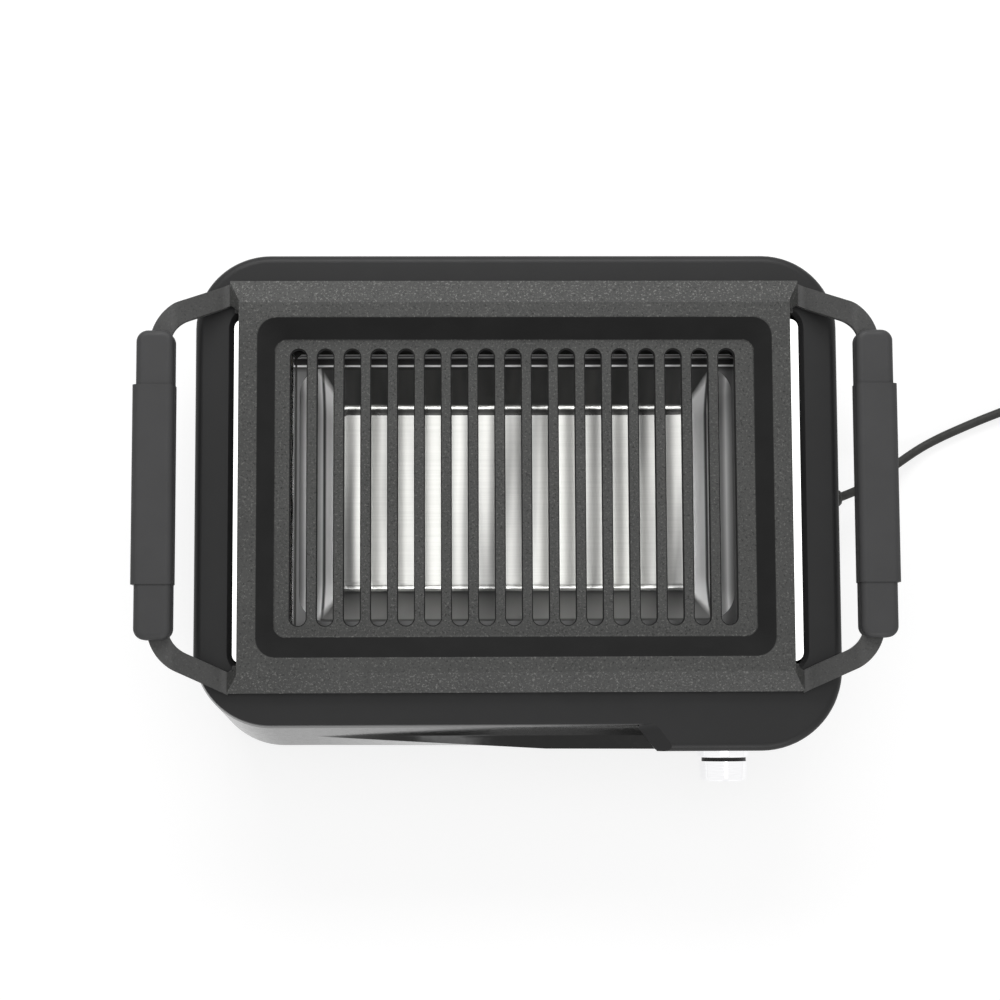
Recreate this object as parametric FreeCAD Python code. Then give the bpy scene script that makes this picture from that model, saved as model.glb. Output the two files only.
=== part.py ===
"""Smokeless tabletop grill, in millimetres.

A slotted cast plate with two raised handles lies over a matt housing. Under it a
pressed drip tray hangs in a steel liner, between two polished troughs that each hold
a quartz heating rod. A twisted glossy panel fills the cut-back front, beside the pod
that carries the knob. +Z is up, the knob faces -Y and the cord leaves towards +X.
"""
import FreeCAD, Part
import math
import os

V = FreeCAD.Vector
UP = V(0, 0, 1)

# Housing: outline at the shoulder, and how it narrows towards the bottom
SIDE_X = 227.6
REAR_Y = 187.6
POD_Y = -164.2
REAR_R = 53.0
FRONT_R = 58.0
TOP_Z = 132.0
SEAM_Z = 22.0
TAPER = 5.0
WALL = 2.6
SHOULDER_R = 6.0

# Mouth in the housing's top, with a turned-down lip
CENTRE_Y = 20.0
MOUTH_X = 200.3
MOUTH_Y = 127.0
MOUTH_R = 13.0
MOUTH_BEVEL_W = 3.2
MOUTH_BEVEL_H = 1.8
LIP_T = 2.4
LIP_DEPTH = 7.0

# Bottom pan and feet
PAN_Z = 8.0
PAN_INSET = 12.0
PAN_FLOOR = 2.5
FOOT_R = 11.0
FOOT_X = 180.0
FOOT_DY = 128.0
FOOT_BORE_R = 2.2

# Front panel, which twists from a lean at the left to a ledge at the right
RIM_Y = POD_Y + 17.5
CUT_REACH = 15.0
RIM_CORNER_R = 55.0
RIM_CORNER_X = RIM_CORNER_R - SIDE_X
RIM_Z = 124.0
RISER_LEAN = 2.3
PANEL_T = 2.5
PANEL_Z = 44.0
PANEL_FROM_Y = -100.0
TWIST_X = -143.0
LEDGE_Y = RIM_Y - 6.3
LEDGE_START_Z = 88.0
LEDGE_FALL = 3.0
PANEL_DROPS = (0.0, 2.0, 3.0, 0.0)
LEDGE_X = 20.0
LEDGE_OUT_Z = 94.0
LEDGE_LOW_Z = 60.0
END_X = 84.0
END_SHEAR = 0.8
END_OUT_Z = 101.0
END_LOW_Z = 70.0
POD_RAMP_X = 97.0
POD_RAMP_RUN = 14.0
POD_BLOCK_X = 118.0
FOLD_R = 9.0

# Grill plate: a flat rim, bevels at front and rear, and a slotted well
PLATE_SHIFT = V(-1.8, 0.7, 0)
PLATE_X = 193.3
PLATE_REAR_Y = 146.4
PLATE_FRONT_Y = 143.3
RIM_TOP_Z = 148.0
RIM_T = 4.0
BEVEL_TOP_Y = 129.4
BEVEL_Z = 138.4
BEVEL_FOOT_W = 4.4
BEVEL_UNDER_IN = 1.6
WELL_X = 180.3
WELL_Y = 119.0
WELL_R = 13.0
WELL_FLOOR_X = 168.7
WELL_FLOOR_Y = 104.3
WELL_FLOOR_R = 9.0
WELL_FLOOR_Z = 136.0
FLOOR_T = 5.0
WELL_EDGE_R = 2.0
WELL_FOOT_R = 3.0
WELL_FOOT_OUT = 2.0
SLOT_COUNT = 17
SLOT_PITCH = 18.85
SLOT_W = 11.2
SLOT_HALF_L = 97.3
SLOT_MIDDLE_X = -1.3
SLOT_MIDDLE_DY = 0.7
SLOT_EDGE_R = 1.0
SKIRT_T = 4.0
SKIRT_DROP = 5.0
SKIRT_HALF_L = 112.0
LEG_R = 4.0
LEG_X = 140.0
LEG_DY = 136.5
PAD_R = 6.0
PAD_T = 2.0
PAD_DY = 137.0

# Handle bars: a flat blank bent up along lines parallel to Y
BAR_T = 4.0
BAR_W = 14.0
BAR_ROOT_X = 178.0
BAR_ROOT_DY = 147.2
BAR_GRIP_X = 246.5
BAR_SLOPE = 0.48
BAR_BEND_R = 28.0
BAR_LOW_Z = 138.0
BAR_BEND_X = 204.0
BAR_TOP_X = 236.5
BAR_FOLD_R = 8.0
ROOT_PAD_X = 197.0
ROOT_PAD_IN = 124.0
ROOT_PAD_OUT = 142.5
ROOT_TRIM_X = 200.0
LUG_INSET = 2.0
LUG_X = 193.0

# Ears that carry the plate's bevel out over the bars' roots
EAR_X = 200.5
EAR_TOP_X = 192.5
EAR_Z = 138.8
EAR_IN_DY = 129.2
EAR_FILLET_DY = 124.0
HANDLE_SCREW_R = 2.0
HANDLE_SCREW_HEAD_R = 3.8
HANDLE_SCREW_X = (183.0, 191.0)
HANDLE_SCREW_DY = 133.0
HANDLE_SCREW_L = 8.5
SCREW_FIT = 0.05

# Grips
GRIP_Z = 158.0
GRIP_OUT_X = 264.2
GRIP_IN_X = 235.4
GRIP_H = 21.0
SLEEVE_HALF_L = 68.8
CAP_OUT_X = 261.9
CAP_IN_X = 236.0
CAP_H = 19.4
CAP_HALF_L = 106.8
CAP_ENTRY_L = 16.0
CAP_BORE_END = 12.0
CAP_END_R = 8.0
GRIP_EDGE_R = 5.0
CAP_EDGE_R = 4.5
BAR_FIT = 0.25

# Drip tray
TRAY_T = 0.8
TRAY_FLOOR_X = 133.0
TRAY_FLOOR_Y = 66.5
TRAY_FLOOR_Z = 64.0
TRAY_FLOOR_R = 12.0
TRAY_TOP_X = 156.0
TRAY_TOP_Y = 91.6
TRAY_TOP_R = 20.0
TRAY_EDGE_X = 157.8
TRAY_EDGE_Y = 100.8
TRAY_EDGE_R = 4.0
BEAD_INSET = 3.0
BEAD_IN_Y = 97.4
BEAD_H = 1.6
TRAY_FILLET = 10.0

# Steel liner that holds the tray, on four posts
LINER_Z = 98.0
LINER_T = 0.8
LINER_FIT_X = 0.4
LINER_FIT_Y = 1.1
LINER_FLOOR_Z = 55.0
LINER_R = TRAY_TOP_R + LINER_T
FLANGE_X = 200.0
FLANGE_R = 10.0
FLANGE_RIM = 1.0
POST_R = 5.0
POST_X = 186.0
POST_GAP = 1.0
POST_SCREW_R = 1.8
POST_SCREW_HEAD_R = 3.6
POST_SCREW_HEAD_H = 2.4
POST_SCREW_L = 14.0

# Polished troughs and what they hold
TROUGH_T = 0.8
TROUGH_IN_X = 158.6
TROUGH_OUT_X = 194.0
TROUGH_LIP_Z = 121.0
TROUGH_TOP_Z = 129.0
TROUGH_EDGE_GAP = 0.3
TROUGH_R = 16.0
TROUGH_IN_R = 5.0
TROUGH_HALF_L = 121.3
TROUGH_CORNER_R = 6.0
ROD_X = 177.0
ROD_Z = 113.0
ROD_R = 5.5
ROD_WALL = 1.2
ROD_HALF_L = 100.0
CAP_R = 8.0
CERAMIC_L = 14.0
CERAMIC_GRIP = 4.0
BRACKET_T = 1.2
BRACKET_DY = ROD_HALF_L + 7.0
BRACKET_W = 22.0
BRACKET_TOP_Z = 123.5
BRACKET_FOOT = 9.0
BRACKET_NECK_OUT = 9.0
BRACKET_NECK_IN = 1.0
BRACKET_NECK_H = 4.0
TAB_L = 8.0
TAB_W = 6.3
TAB_T = 0.8

POST_DY = TROUGH_HALF_L + POST_SCREW_HEAD_R + POST_GAP
FLANGE_Y = POST_DY + POST_R + FLANGE_RIM

# Sheets that close the chamber and shade the housing
SHIELD_T = 0.8
SHIELD_TOP_Z = 129.1
SHIELD_FOOT = 5.0
CHAMBER_DY = TROUGH_HALF_L + 8.9
SIDE_SHIELD_INSET = 8.0
SIDE_SHIELD_X = 197.2

# Knob, its ring and the switch behind it
KNOB_X = 148.0
KNOB_Z = 86.0
RING_R = 18.7
RING_T = 5.0
SHAFT_DEPTH = 6.0
SHAFT_END_GAP = 3.0
SWITCH_NECK_OUT = 1.2
SPACER_R = 3.5
RING_EDGE = 1.0
RING_FLOOR = 1.5
RING_BORE_GAP = 2.0
GROOVE_R = 15.8
GROOVE_T = 2.7
KNOB_R = 17.6
KNOB_GAP = 0.4
KNOB_FRONT_Y = POD_Y - 22.0
KNOB_FRONT_R = 2.5
KNOB_TAPER = 0.6
KNOB_WALL = 2.0
HUB_R = 6.0
POINTER_W = 2.2
POINTER_L = 9.0
POINTER_T = 0.6
SHAFT_R = 3.0
SHAFT_FIT = 0.05
SHAFT_FLAT = 2.2
SWITCH_W = 28.0
SWITCH_H = 30.0
SWITCH_D = 24.0
SWITCH_GAP = 6.0
SWITCH_NECK_R = 5.0
SWITCH_PLATE_T = 1.5
SWITCH_PLATE_W = 44.0
SWITCH_TAB_L = 7.0
SWITCH_TAB_X = 8.0

# Bosses and screws that close the housing
BOSS_R = 5.0
BOSS_BORE_R = 1.9
REAR_BOSS = (204.0, 162.5)
FRONT_BOSS = (200.0, -122.0)
CASE_SCREW_R = 1.8
CASE_SCREW_HEAD_R = 3.4
CASE_SCREW_HEAD_H = 2.0
CASE_SCREW_L = 24.0

# Electrical pieces in the base
BLOCK_X = 176.0
BLOCK_W = 18.0
BLOCK_L = 34.0
BLOCK_H = 16.0
CLAMP_X = 203.0
CLAMP_W = 8.0
CLAMP_L = 22.0
CLAMP_H = 6.0
CUTOUT_R = 7.5
CUTOUT_H = 9.0
CUTOUT_GAP = 6.5
CUTOUT_DY = 60.0
CUTOUT_TAB_DY = 4.0
CUTOUT_TAB_L = 7.0
CUTOUT_X = TRAY_TOP_X + TRAY_T + LINER_FIT_X + LINER_T + CUTOUT_GAP + CUTOUT_R
WIRE_R = 1.4
WIRE_BEND = 6.0
WIRE_Z = 14.0
WIRE_UPPER_Z = 18.0
CORE_R = 1.0
CORE_BEND = 3.0
LEAD_STUB = 10.0

# Cord: where it leaves, its thickness and its points by hand
CORD_D = 6.6
GLAND_Z = 31.5
GLAND_Y = 22.3
GLAND_END_X = 246.3
GLAND_R = 7.0
GLAND_TIP_R = 5.9
GLAND_TIP_EDGE = 1.4
GLAND_FLANGE_R = 9.2
GLAND_FLANGE_T = 2.4
GLAND_FIT = 0.2
CORD_POINTS = [
    (242.5, 22.0, 31.6),
    (263.3, 29.6, 24.4),
    (280.9, 41.6, 14.4),
    (299.0, 54.2, 6.8),
    (313.6, 63.8, 3.6),
    (328.6, 71.6, 3.4),
    (344.5, 78.6, 3.4),
    (359.8, 85.0, 3.5),
    (375.4, 91.0, 3.8),
    (391.5, 97.0, 4.3),
]
COIL_START = V(415.6, 105.75, 4.5)
COIL_HEADING = 20.0
COIL_OUTER_R = 45.0
COIL_PITCH = 7.2
COIL_LAYER = 7.1
QUARTERS_IN = 10
QUARTERS_OUT = 9
TIE_T = 1.0
TIE_W = 8.0
TIE_CORNER_R = 2.5
TIE_FIT = 0.2
TIE_ANGLE = 250.0
COIL_TAIL = 19.8

# Plug
PLUG_LIFT = 0.3
PLUG_NECK_L = 22.0
PLUG_NECK_R = 4.5
PLUG_BODY_L = 34.0
PLUG_W = 34.0
PLUG_TAIL_W = 17.0
PLUG_R = 7.0
PIN_R = 2.4
PIN_L = 19.0
PIN_SPACING = 19.0


def box(x0, x1, y0, y1, z0, z1):
    return Part.makeBox(x1 - x0, y1 - y0, z1 - z0, V(x0, y0, z0))


def cylinder(radius, x, y, z0, z1):
    return Part.makeCylinder(radius, z1 - z0, V(x, y, z0))


def rounded_outline(x0, x1, y0, y1, front_r, rear_r, z):
    """A closed outline with one radius at the front corners and one at the rear."""
    corners = [
        (V(x0 + front_r, y0 + front_r, z), front_r, 180),
        (V(x1 - front_r, y0 + front_r, z), front_r, 270),
        (V(x1 - rear_r, y1 - rear_r, z), rear_r, 0),
        (V(x0 + rear_r, y1 - rear_r, z), rear_r, 90),
    ]
    arcs = [Part.Arc(Part.Circle(c, UP, r), math.radians(a), math.radians(a + 90)).toShape()
            for c, r, a in corners]
    edges = []
    for arc, following in zip(arcs, arcs[1:] + arcs[:1]):
        edges.append(arc)
        edges.append(Part.makeLine(arc.Vertexes[-1].Point, following.Vertexes[0].Point))
    return Part.Wire(edges)


def rounded_rect(half_x, half_y, radius, z, centre_y=CENTRE_Y):
    return rounded_outline(-half_x, half_x, centre_y - half_y, centre_y + half_y, radius, radius, z)


def loft(*wires):
    return Part.makeLoft(list(wires), True, True)


def prism(wire, height):
    return Part.Face(wire).extrude(V(0, 0, height))


def polygon_prism(points, direction):
    return Part.Face(Part.makePolygon(points + points[:1])).extrude(direction)


def mirrored(shape):
    return shape.mirror(V(0, 0, 0), V(1, 0, 0))


def mirrored_y(shape):
    return shape.mirror(V(0, CENTRE_Y, 0), V(0, 1, 0))


def four_corners(shape):
    """The shape and its images at the other three corners."""
    pair = [shape, mirrored(shape)]
    return pair + [mirrored_y(one) for one in pair]


def edges_where(shape, test):
    return [edge for edge in shape.Edges if test(edge.BoundBox)]


def flat_at(z):
    return lambda b: abs(b.ZMin - z) < 0.01 and abs(b.ZMax - z) < 0.01


def export(node, *shapes):
    shape = shapes[0] if len(shapes) == 1 else Part.makeCompound(list(shapes))
    shape.exportStep("parts/" + node + ".step")


def export_on_plate(node, *shapes):
    """The plate and its handles lie a little off the middle, within their play."""
    export(node, *[shape.translated(PLATE_SHIFT) for shape in shapes])


def body_wire(z, inset):
    """The housing's outline, drawn in by an inset."""
    return rounded_outline(-SIDE_X + inset, SIDE_X - inset, POD_Y + inset, REAR_Y - inset,
                           FRONT_R - inset, REAR_R - inset, z)


def taper_at(z):
    return TAPER * (TOP_Z - z) / (TOP_Z - SEAM_Z)


def front_y(z):
    return POD_Y + taper_at(z)


# Front panel

def rim_wire(z, inset):
    """The cut-back rim: straight along the front, round at the left corner."""
    y = RIM_Y + inset
    r = RIM_CORNER_R - inset
    centre_y = RIM_Y + RIM_CORNER_R
    return panel_wire(z, RIM_CORNER_X - r, y, V(RIM_CORNER_X, centre_y, z), r)


def foot_wire(inset):
    """The panel's lower edge, which follows the housing."""
    draw = taper_at(PANEL_Z) + inset
    r = FRONT_R - draw
    centre = V(-SIDE_X + FRONT_R, POD_Y + FRONT_R, PANEL_Z)
    return panel_wire(PANEL_Z, centre.x - r, centre.y - r, centre, r)


def panel_wire(z, left_x, front, centre, radius):
    corner = Part.Arc(Part.Circle(centre, UP, radius), math.radians(180), math.radians(270)).toShape()
    start = corner.Vertexes[0].Point
    end = corner.Vertexes[-1].Point
    points = [end, V(TWIST_X, front, z), V(TWIST_X, 0, z), V(left_x, 0, z), start]
    lines = [Part.makeLine(a, b) for a, b in zip(points, points[1:])]
    return Part.Wire([corner] + lines)


def corner_core(inset):
    """What stays behind the panel around the left corner."""
    low = loft(foot_wire(inset), rim_wire(RIM_Z, inset))
    high = loft(rim_wire(RIM_Z, inset), rim_wire(TOP_Z + 1, inset + RISER_LEAN))
    return low.fuse(high)


def panel_stations():
    """Where the panel's section changes: x, ledge's inner z, outer z and lower edge z."""
    return [
        (TWIST_X, LEDGE_START_Z, LEDGE_START_Z - LEDGE_FALL, PANEL_Z, 0.0),
        (LEDGE_X, LEDGE_OUT_Z + LEDGE_FALL, LEDGE_OUT_Z, LEDGE_LOW_Z, 1.0),
        (END_X, END_OUT_Z + LEDGE_FALL, END_OUT_Z, END_LOW_Z, 1.0),
    ]


def panel_face_points(station):
    """Outer points from the rim down: rim, ledge inside, ledge outside, lower edge."""
    x, in_z, out_z, low_z, reach = station
    lean = (front_y(PANEL_Z) - RIM_Y) / (RIM_Z - PANEL_Z)
    start_y = RIM_Y + lean * (RIM_Z - out_z)
    ledge_y = LEDGE_Y if reach else RIM_Y + lean * (RIM_Z - in_z)
    out_y = front_y(out_z) if reach else start_y
    points = [(RIM_Y, RIM_Z), (ledge_y, in_z), (out_y, out_z), (front_y(low_z), low_z)]
    shear = END_SHEAR if x == END_X else 0.0
    return [V(x + shear * (RIM_Y - y), y, z) for y, z in points]


def loft_stations(sections):
    return loft(*[Part.makePolygon(s + s[:1]) for s in sections])


def flange_points(station, inset):
    """The panel's upper flange, from under the housing's top down to the rim."""
    z = TOP_Z - WALL
    y = RIM_Y + RISER_LEAN * (z - RIM_Z) / (TOP_Z + 1 - RIM_Z) + inset
    x = station[0]
    shear = END_SHEAR if x == END_X else 0.0
    return V(x + shear * (RIM_Y - y), y, z)


def shifted(points, stations_x):
    """The same points moved in by the panel's thickness."""
    shear = END_SHEAR if stations_x == END_X else 0.0
    return [V(p.x - shear * PANEL_T, p.y + PANEL_T, p.z - drop)
            for p, drop in zip(points, PANEL_DROPS)]


def twisted_panel():
    sections = []
    for station in panel_stations():
        outer = panel_face_points(station)
        inner = shifted(outer, station[0])
        sections.append([flange_points(station, 0.0)] + outer + inner[::-1]
                        + [flange_points(station, PANEL_T)])
    return loft_stations(sections)


def twisted_cut():
    """The housing's cut behind the twisted panel."""
    far_y = POD_Y - CUT_REACH
    sections = []
    for station in panel_stations():
        inner = shifted(panel_face_points(station), station[0])
        shear = END_SHEAR if station[0] == END_X else 0.0
        low = V(station[0] + shear * (RIM_Y - far_y), far_y, inner[-1].z)
        high = V(station[0] + shear * (RIM_Y - far_y), far_y, RIM_Z)
        sections.append(inner + [low, high])
    return loft_stations(sections)


def rim_cut():
    """Above the panel: the riser under the rim and the ramp at the pod."""
    def outline(z, y, ramp):
        far_y = POD_Y - CUT_REACH
        near_x = POD_RAMP_X - END_SHEAR * (RIM_Y - POD_Y) + ramp
        fold = V(near_x, y, z)
        out = V(POD_RAMP_X + END_SHEAR * (POD_Y - far_y) + ramp, far_y, z)
        start = V(TWIST_X, y, z)
        along = (start - fold).normalize()
        down = (out - fold).normalize()
        turn = math.acos(along.dot(down))
        reach = FOLD_R / math.tan(turn / 2)
        a = fold + along * reach
        b = fold + down * reach
        middle = (along + down).normalize()
        top = fold + middle * (FOLD_R / math.sin(turn / 2) - FOLD_R)
        return Part.Wire([Part.makeLine(start, a), Part.Arc(a, top, b).toShape(),
                          Part.makeLine(b, out), Part.makeLine(out, V(TWIST_X, far_y, z)),
                          Part.makeLine(V(TWIST_X, far_y, z), start)])
    return loft(outline(RIM_Z, RIM_Y, 0.0), outline(TOP_Z + 1, RIM_Y + RISER_LEAN, POD_RAMP_RUN))


def corner_zone():
    return box(-SIDE_X - 10, TWIST_X, POD_Y - CUT_REACH, PANEL_FROM_Y, PANEL_Z, TOP_Z + 1)


def front_fascia():
    top = TOP_Z - WALL
    corner = corner_core(0.0).cut(corner_core(PANEL_T)).common(corner_zone())
    corner = corner.cut(box(-SIDE_X - 10, TWIST_X, POD_Y - 15, 0, top, TOP_Z + 5))
    return corner.fuse(twisted_panel()).removeSplitter()


# Housing

def boss_places():
    rear = [(side * REAR_BOSS[0], REAR_BOSS[1]) for side in (-1, 1)]
    return rear + [(side * FRONT_BOSS[0], FRONT_BOSS[1]) for side in (-1, 1)]


def mouth_bevel():
    """The sloping edge round the mouth."""
    def outline(z):
        out = MOUTH_BEVEL_W * (z - TOP_Z + MOUTH_BEVEL_H) / MOUTH_BEVEL_H
        return rounded_rect(MOUTH_X + out, MOUTH_Y + out, MOUTH_R + out, z)
    return loft(outline(TOP_Z - MOUTH_BEVEL_H), outline(TOP_Z + 1))


def upper_housing():
    outer = loft(body_wire(SEAM_Z, TAPER), body_wire(TOP_Z, 0.0))
    outer = outer.makeFillet(SHOULDER_R, edges_where(outer, flat_at(TOP_Z)))
    cavity = loft(body_wire(SEAM_Z, TAPER + WALL), body_wire(TOP_Z - WALL, WALL))
    pod_block = outer.common(box(END_X, POD_BLOCK_X, POD_Y - 5, RIM_Y + 6, END_LOW_Z - 8, TOP_Z))
    lip = prism(rounded_rect(MOUTH_X + LIP_T, MOUTH_Y + LIP_T, MOUTH_R + LIP_T, TOP_Z - LIP_DEPTH),
                LIP_DEPTH - 1)
    shell = outer.cut(cavity).fuse([pod_block, lip])
    for x, y in boss_places():
        shell = shell.fuse(cylinder(BOSS_R, x, y, SEAM_Z, TOP_Z - 1))
        shell = shell.cut(cylinder(BOSS_BORE_R, x, y, SEAM_Z, SEAM_Z + CASE_SCREW_L + 2))
    shell = shell.cut([prism(rounded_rect(MOUTH_X, MOUTH_Y, MOUTH_R, TOP_Z - 20), 40), mouth_bevel()])
    cover = corner_core(0.0).common(box(-SIDE_X, TWIST_X, POD_Y, PANEL_FROM_Y, TOP_Z - WALL, TOP_Z + 1))
    shell = shell.cut(corner_zone().cut([corner_core(PANEL_T), cover]))
    shell = shell.cut([twisted_cut(), rim_cut()])
    shaft_hole = Part.makeCylinder(SWITCH_NECK_R + SHAFT_FIT, 20, V(KNOB_X, POD_Y - 10, KNOB_Z), V(0, 1, 0))
    gland_hole = Part.makeCylinder(GLAND_R + GLAND_FIT, 30, V(SIDE_X - 20, GLAND_Y, GLAND_Z), V(1, 0, 0))
    return shell.cut([shaft_hole, gland_hole])


def base_pan():
    outer = loft(body_wire(PAN_Z, PAN_INSET), body_wire(SEAM_Z, TAPER))
    cavity = loft(body_wire(PAN_Z + PAN_FLOOR, PAN_INSET + WALL), body_wire(SEAM_Z, TAPER + WALL))
    pan = outer.cut(cavity)
    for x, y in boss_places():
        pan = pan.fuse(cylinder(BOSS_R, x, y, PAN_Z + 1, SEAM_Z))
        pan = pan.cut(cylinder(BOSS_BORE_R, x, y, PAN_Z, SEAM_Z))
        pan = pan.cut(cylinder(CASE_SCREW_HEAD_R + SCREW_FIT, x, y, PAN_Z, PAN_Z + CASE_SCREW_HEAD_H))
    return pan


def case_screws():
    screws = []
    for x, y in boss_places():
        head = cylinder(CASE_SCREW_HEAD_R, x, y, PAN_Z, PAN_Z + CASE_SCREW_HEAD_H)
        screws.append(head.fuse(cylinder(CASE_SCREW_R, x, y, PAN_Z + 1, SEAM_Z + CASE_SCREW_L)))
    return screws


def foot_pads():
    pad = cylinder(FOOT_R, FOOT_X, CENTRE_Y + FOOT_DY, 0.0, PAN_Z)
    pad = pad.makeChamfer(1.2, edges_where(pad, flat_at(0.0)))
    pad = pad.cut(cylinder(FOOT_BORE_R + 2.2, FOOT_X, CENTRE_Y + FOOT_DY, 0.0, PAN_Z / 2))
    return four_corners(pad)


# Grill plate

def slot_places():
    return [SLOT_MIDDLE_X + (i - (SLOT_COUNT - 1) / 2) * SLOT_PITCH for i in range(SLOT_COUNT)]


def slot_cutter(x):
    """A full-round slot with a small bevel where it meets the floor's top."""
    def stadium(z, grow):
        r = SLOT_W / 2 + grow
        y = CENTRE_Y + SLOT_MIDDLE_DY
        half_l = SLOT_HALF_L + grow
        return rounded_outline(x - r, x + r, y - half_l, y + half_l, r - 0.01, r - 0.01, z)
    deep = loft(stadium(WELL_FLOOR_Z - FLOOR_T - 1, 0.0), stadium(WELL_FLOOR_Z - SLOT_EDGE_R, 0.0))
    edge = loft(stadium(WELL_FLOOR_Z - SLOT_EDGE_R, 0.0), stadium(WELL_FLOOR_Z, SLOT_EDGE_R * 0.7))
    return deep.fuse(edge)


def plate_top():
    """The plate's top from rear to front, as distance from the centre and height."""
    return [(PLATE_REAR_Y, BEVEL_Z), (BEVEL_TOP_Y, RIM_TOP_Z),
            (-BEVEL_TOP_Y, RIM_TOP_Z), (-PLATE_FRONT_Y, BEVEL_Z)]


def across(points, half_x):
    """A solid with that side view, from one side of the plate to the other."""
    return polygon_prism([V(-half_x, CENTRE_Y + y, z) for y, z in points], V(2 * half_x, 0, 0))


def plate_envelope(half_x):
    """Everything under the plate's top surface."""
    return across(plate_top() + [(-PLATE_FRONT_Y, 0), (PLATE_REAR_Y, 0)], half_x)


def plate_sheet():
    under_z = RIM_TOP_Z - RIM_T
    under_y = BEVEL_TOP_Y - BEVEL_UNDER_IN
    under = [(BEVEL_FOOT_W - PLATE_FRONT_Y, BEVEL_Z), (-under_y, under_z), (under_y, under_z),
             (PLATE_REAR_Y - BEVEL_FOOT_W, BEVEL_Z)]
    return across(plate_top() + under, PLATE_X)


def ear():
    """The rear right ear: it slopes down from the rim to the bar's root."""
    plan = [(LUG_X - 3, PLATE_REAR_Y), (EAR_X, PLATE_REAR_Y), (EAR_X, EAR_IN_DY),
            (PLATE_X, EAR_FILLET_DY), (LUG_X - 3, EAR_FILLET_DY)]
    block = polygon_prism([V(x, CENTRE_Y + y, BEVEL_Z) for x, y in plan], V(0, 0, RIM_TOP_Z - BEVEL_Z))
    slope = [(LUG_X - 5, BEVEL_Z), (EAR_X, BEVEL_Z), (EAR_X, EAR_Z),
             (EAR_TOP_X, RIM_TOP_Z), (LUG_X - 5, RIM_TOP_Z)]
    wedge = polygon_prism([V(x, CENTRE_Y, z) for x, z in slope], V(0, 2 * PLATE_REAR_Y, 0))
    return block.common(wedge)


def grill_plate():
    foot = WELL_FOOT_OUT
    well_out = loft(rounded_rect(WELL_FLOOR_X + foot, WELL_FLOOR_Y + foot, WELL_FLOOR_R + foot,
                                 WELL_FLOOR_Z - FLOOR_T),
                    rounded_rect(WELL_X + RIM_T, WELL_Y + RIM_T, WELL_R + RIM_T, RIM_TOP_Z - RIM_T))
    well_in = loft(rounded_rect(WELL_FLOOR_X, WELL_FLOOR_Y, WELL_FLOOR_R, WELL_FLOOR_Z),
                   rounded_rect(WELL_X, WELL_Y, WELL_R, RIM_TOP_Z))
    well_in = well_in.makeFillet(WELL_FOOT_R, edges_where(well_in, flat_at(WELL_FLOOR_Z)))
    skirt = box(PLATE_X - SKIRT_T, PLATE_X, CENTRE_Y - SKIRT_HALF_L, CENTRE_Y + SKIRT_HALF_L,
                RIM_TOP_Z - RIM_T - SKIRT_DROP, RIM_TOP_Z - RIM_T)
    leg = cylinder(LEG_R, LEG_X, CENTRE_Y + LEG_DY, TOP_Z + PAD_T, RIM_TOP_Z - RIM_T)
    lug = box(BAR_ROOT_X, LUG_X, CENTRE_Y + ROOT_PAD_IN + LUG_INSET, CENTRE_Y + ROOT_PAD_OUT - LUG_INSET,
              BAR_LOW_Z, RIM_TOP_Z - RIM_T)
    under = [one for shape in (leg, lug, ear()) for one in four_corners(shape)]
    under = [one.common(plate_envelope(EAR_X + 1)) for one in under]
    plate = plate_sheet().fuse([well_out, skirt, mirrored(skirt)] + under)
    plate = plate.removeSplitter().cut(well_in)
    rim_edges = edges_where(plate, lambda b: flat_at(RIM_TOP_Z)(b) and abs(b.XMin) < WELL_X + 1
                            and abs(b.XMax) < WELL_X + 1 and abs(b.YMax - CENTRE_Y) < WELL_Y + 1)
    plate = plate.makeFillet(WELL_EDGE_R, rim_edges)
    for x in HANDLE_SCREW_X:
        bore = cylinder(HANDLE_SCREW_R + SCREW_FIT, x, CENTRE_Y + HANDLE_SCREW_DY, BAR_LOW_Z - 1,
                        BAR_LOW_Z - BAR_T + HANDLE_SCREW_L + 0.3)
        plate = plate.cut(four_corners(bore))
    return plate.cut([slot_cutter(x) for x in slot_places()])


def seat_pads():
    pad = cylinder(PAD_R, LEG_X, CENTRE_Y + PAD_DY, TOP_Z, TOP_Z + PAD_T)
    return four_corners(pad)


# Handles

def bar_points(offset):
    """Corners of the bar's blank on one side of its centreline."""
    slope = math.atan(BAR_SLOPE)
    line_shift = offset / math.cos(slope)
    grip_x = BAR_GRIP_X + offset
    corner_dy = BAR_ROOT_DY - (grip_x - BAR_ROOT_X) * BAR_SLOPE + line_shift
    return V(BAR_ROOT_X, BAR_ROOT_DY + line_shift, 0), V(grip_x, corner_dy, 0)


def blank_half(offset, radius):
    """Edges from the root to the middle of the grip, as a start, an arc and an end."""
    root, corner = bar_points(offset)
    to_root = (root - corner).normalize()
    to_grip = V(0, -1, 0)
    half = math.acos(to_root.dot(to_grip)) / 2
    reach = radius / math.tan(half)
    a = corner + to_root * reach
    b = corner + to_grip * reach
    top = corner + (to_root + to_grip).normalize() * (radius / math.sin(half) - radius)
    return [Part.makeLine(root, a), Part.Arc(a, top, b).toShape(), Part.makeLine(b, V(b.x, 0, 0))]


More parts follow.
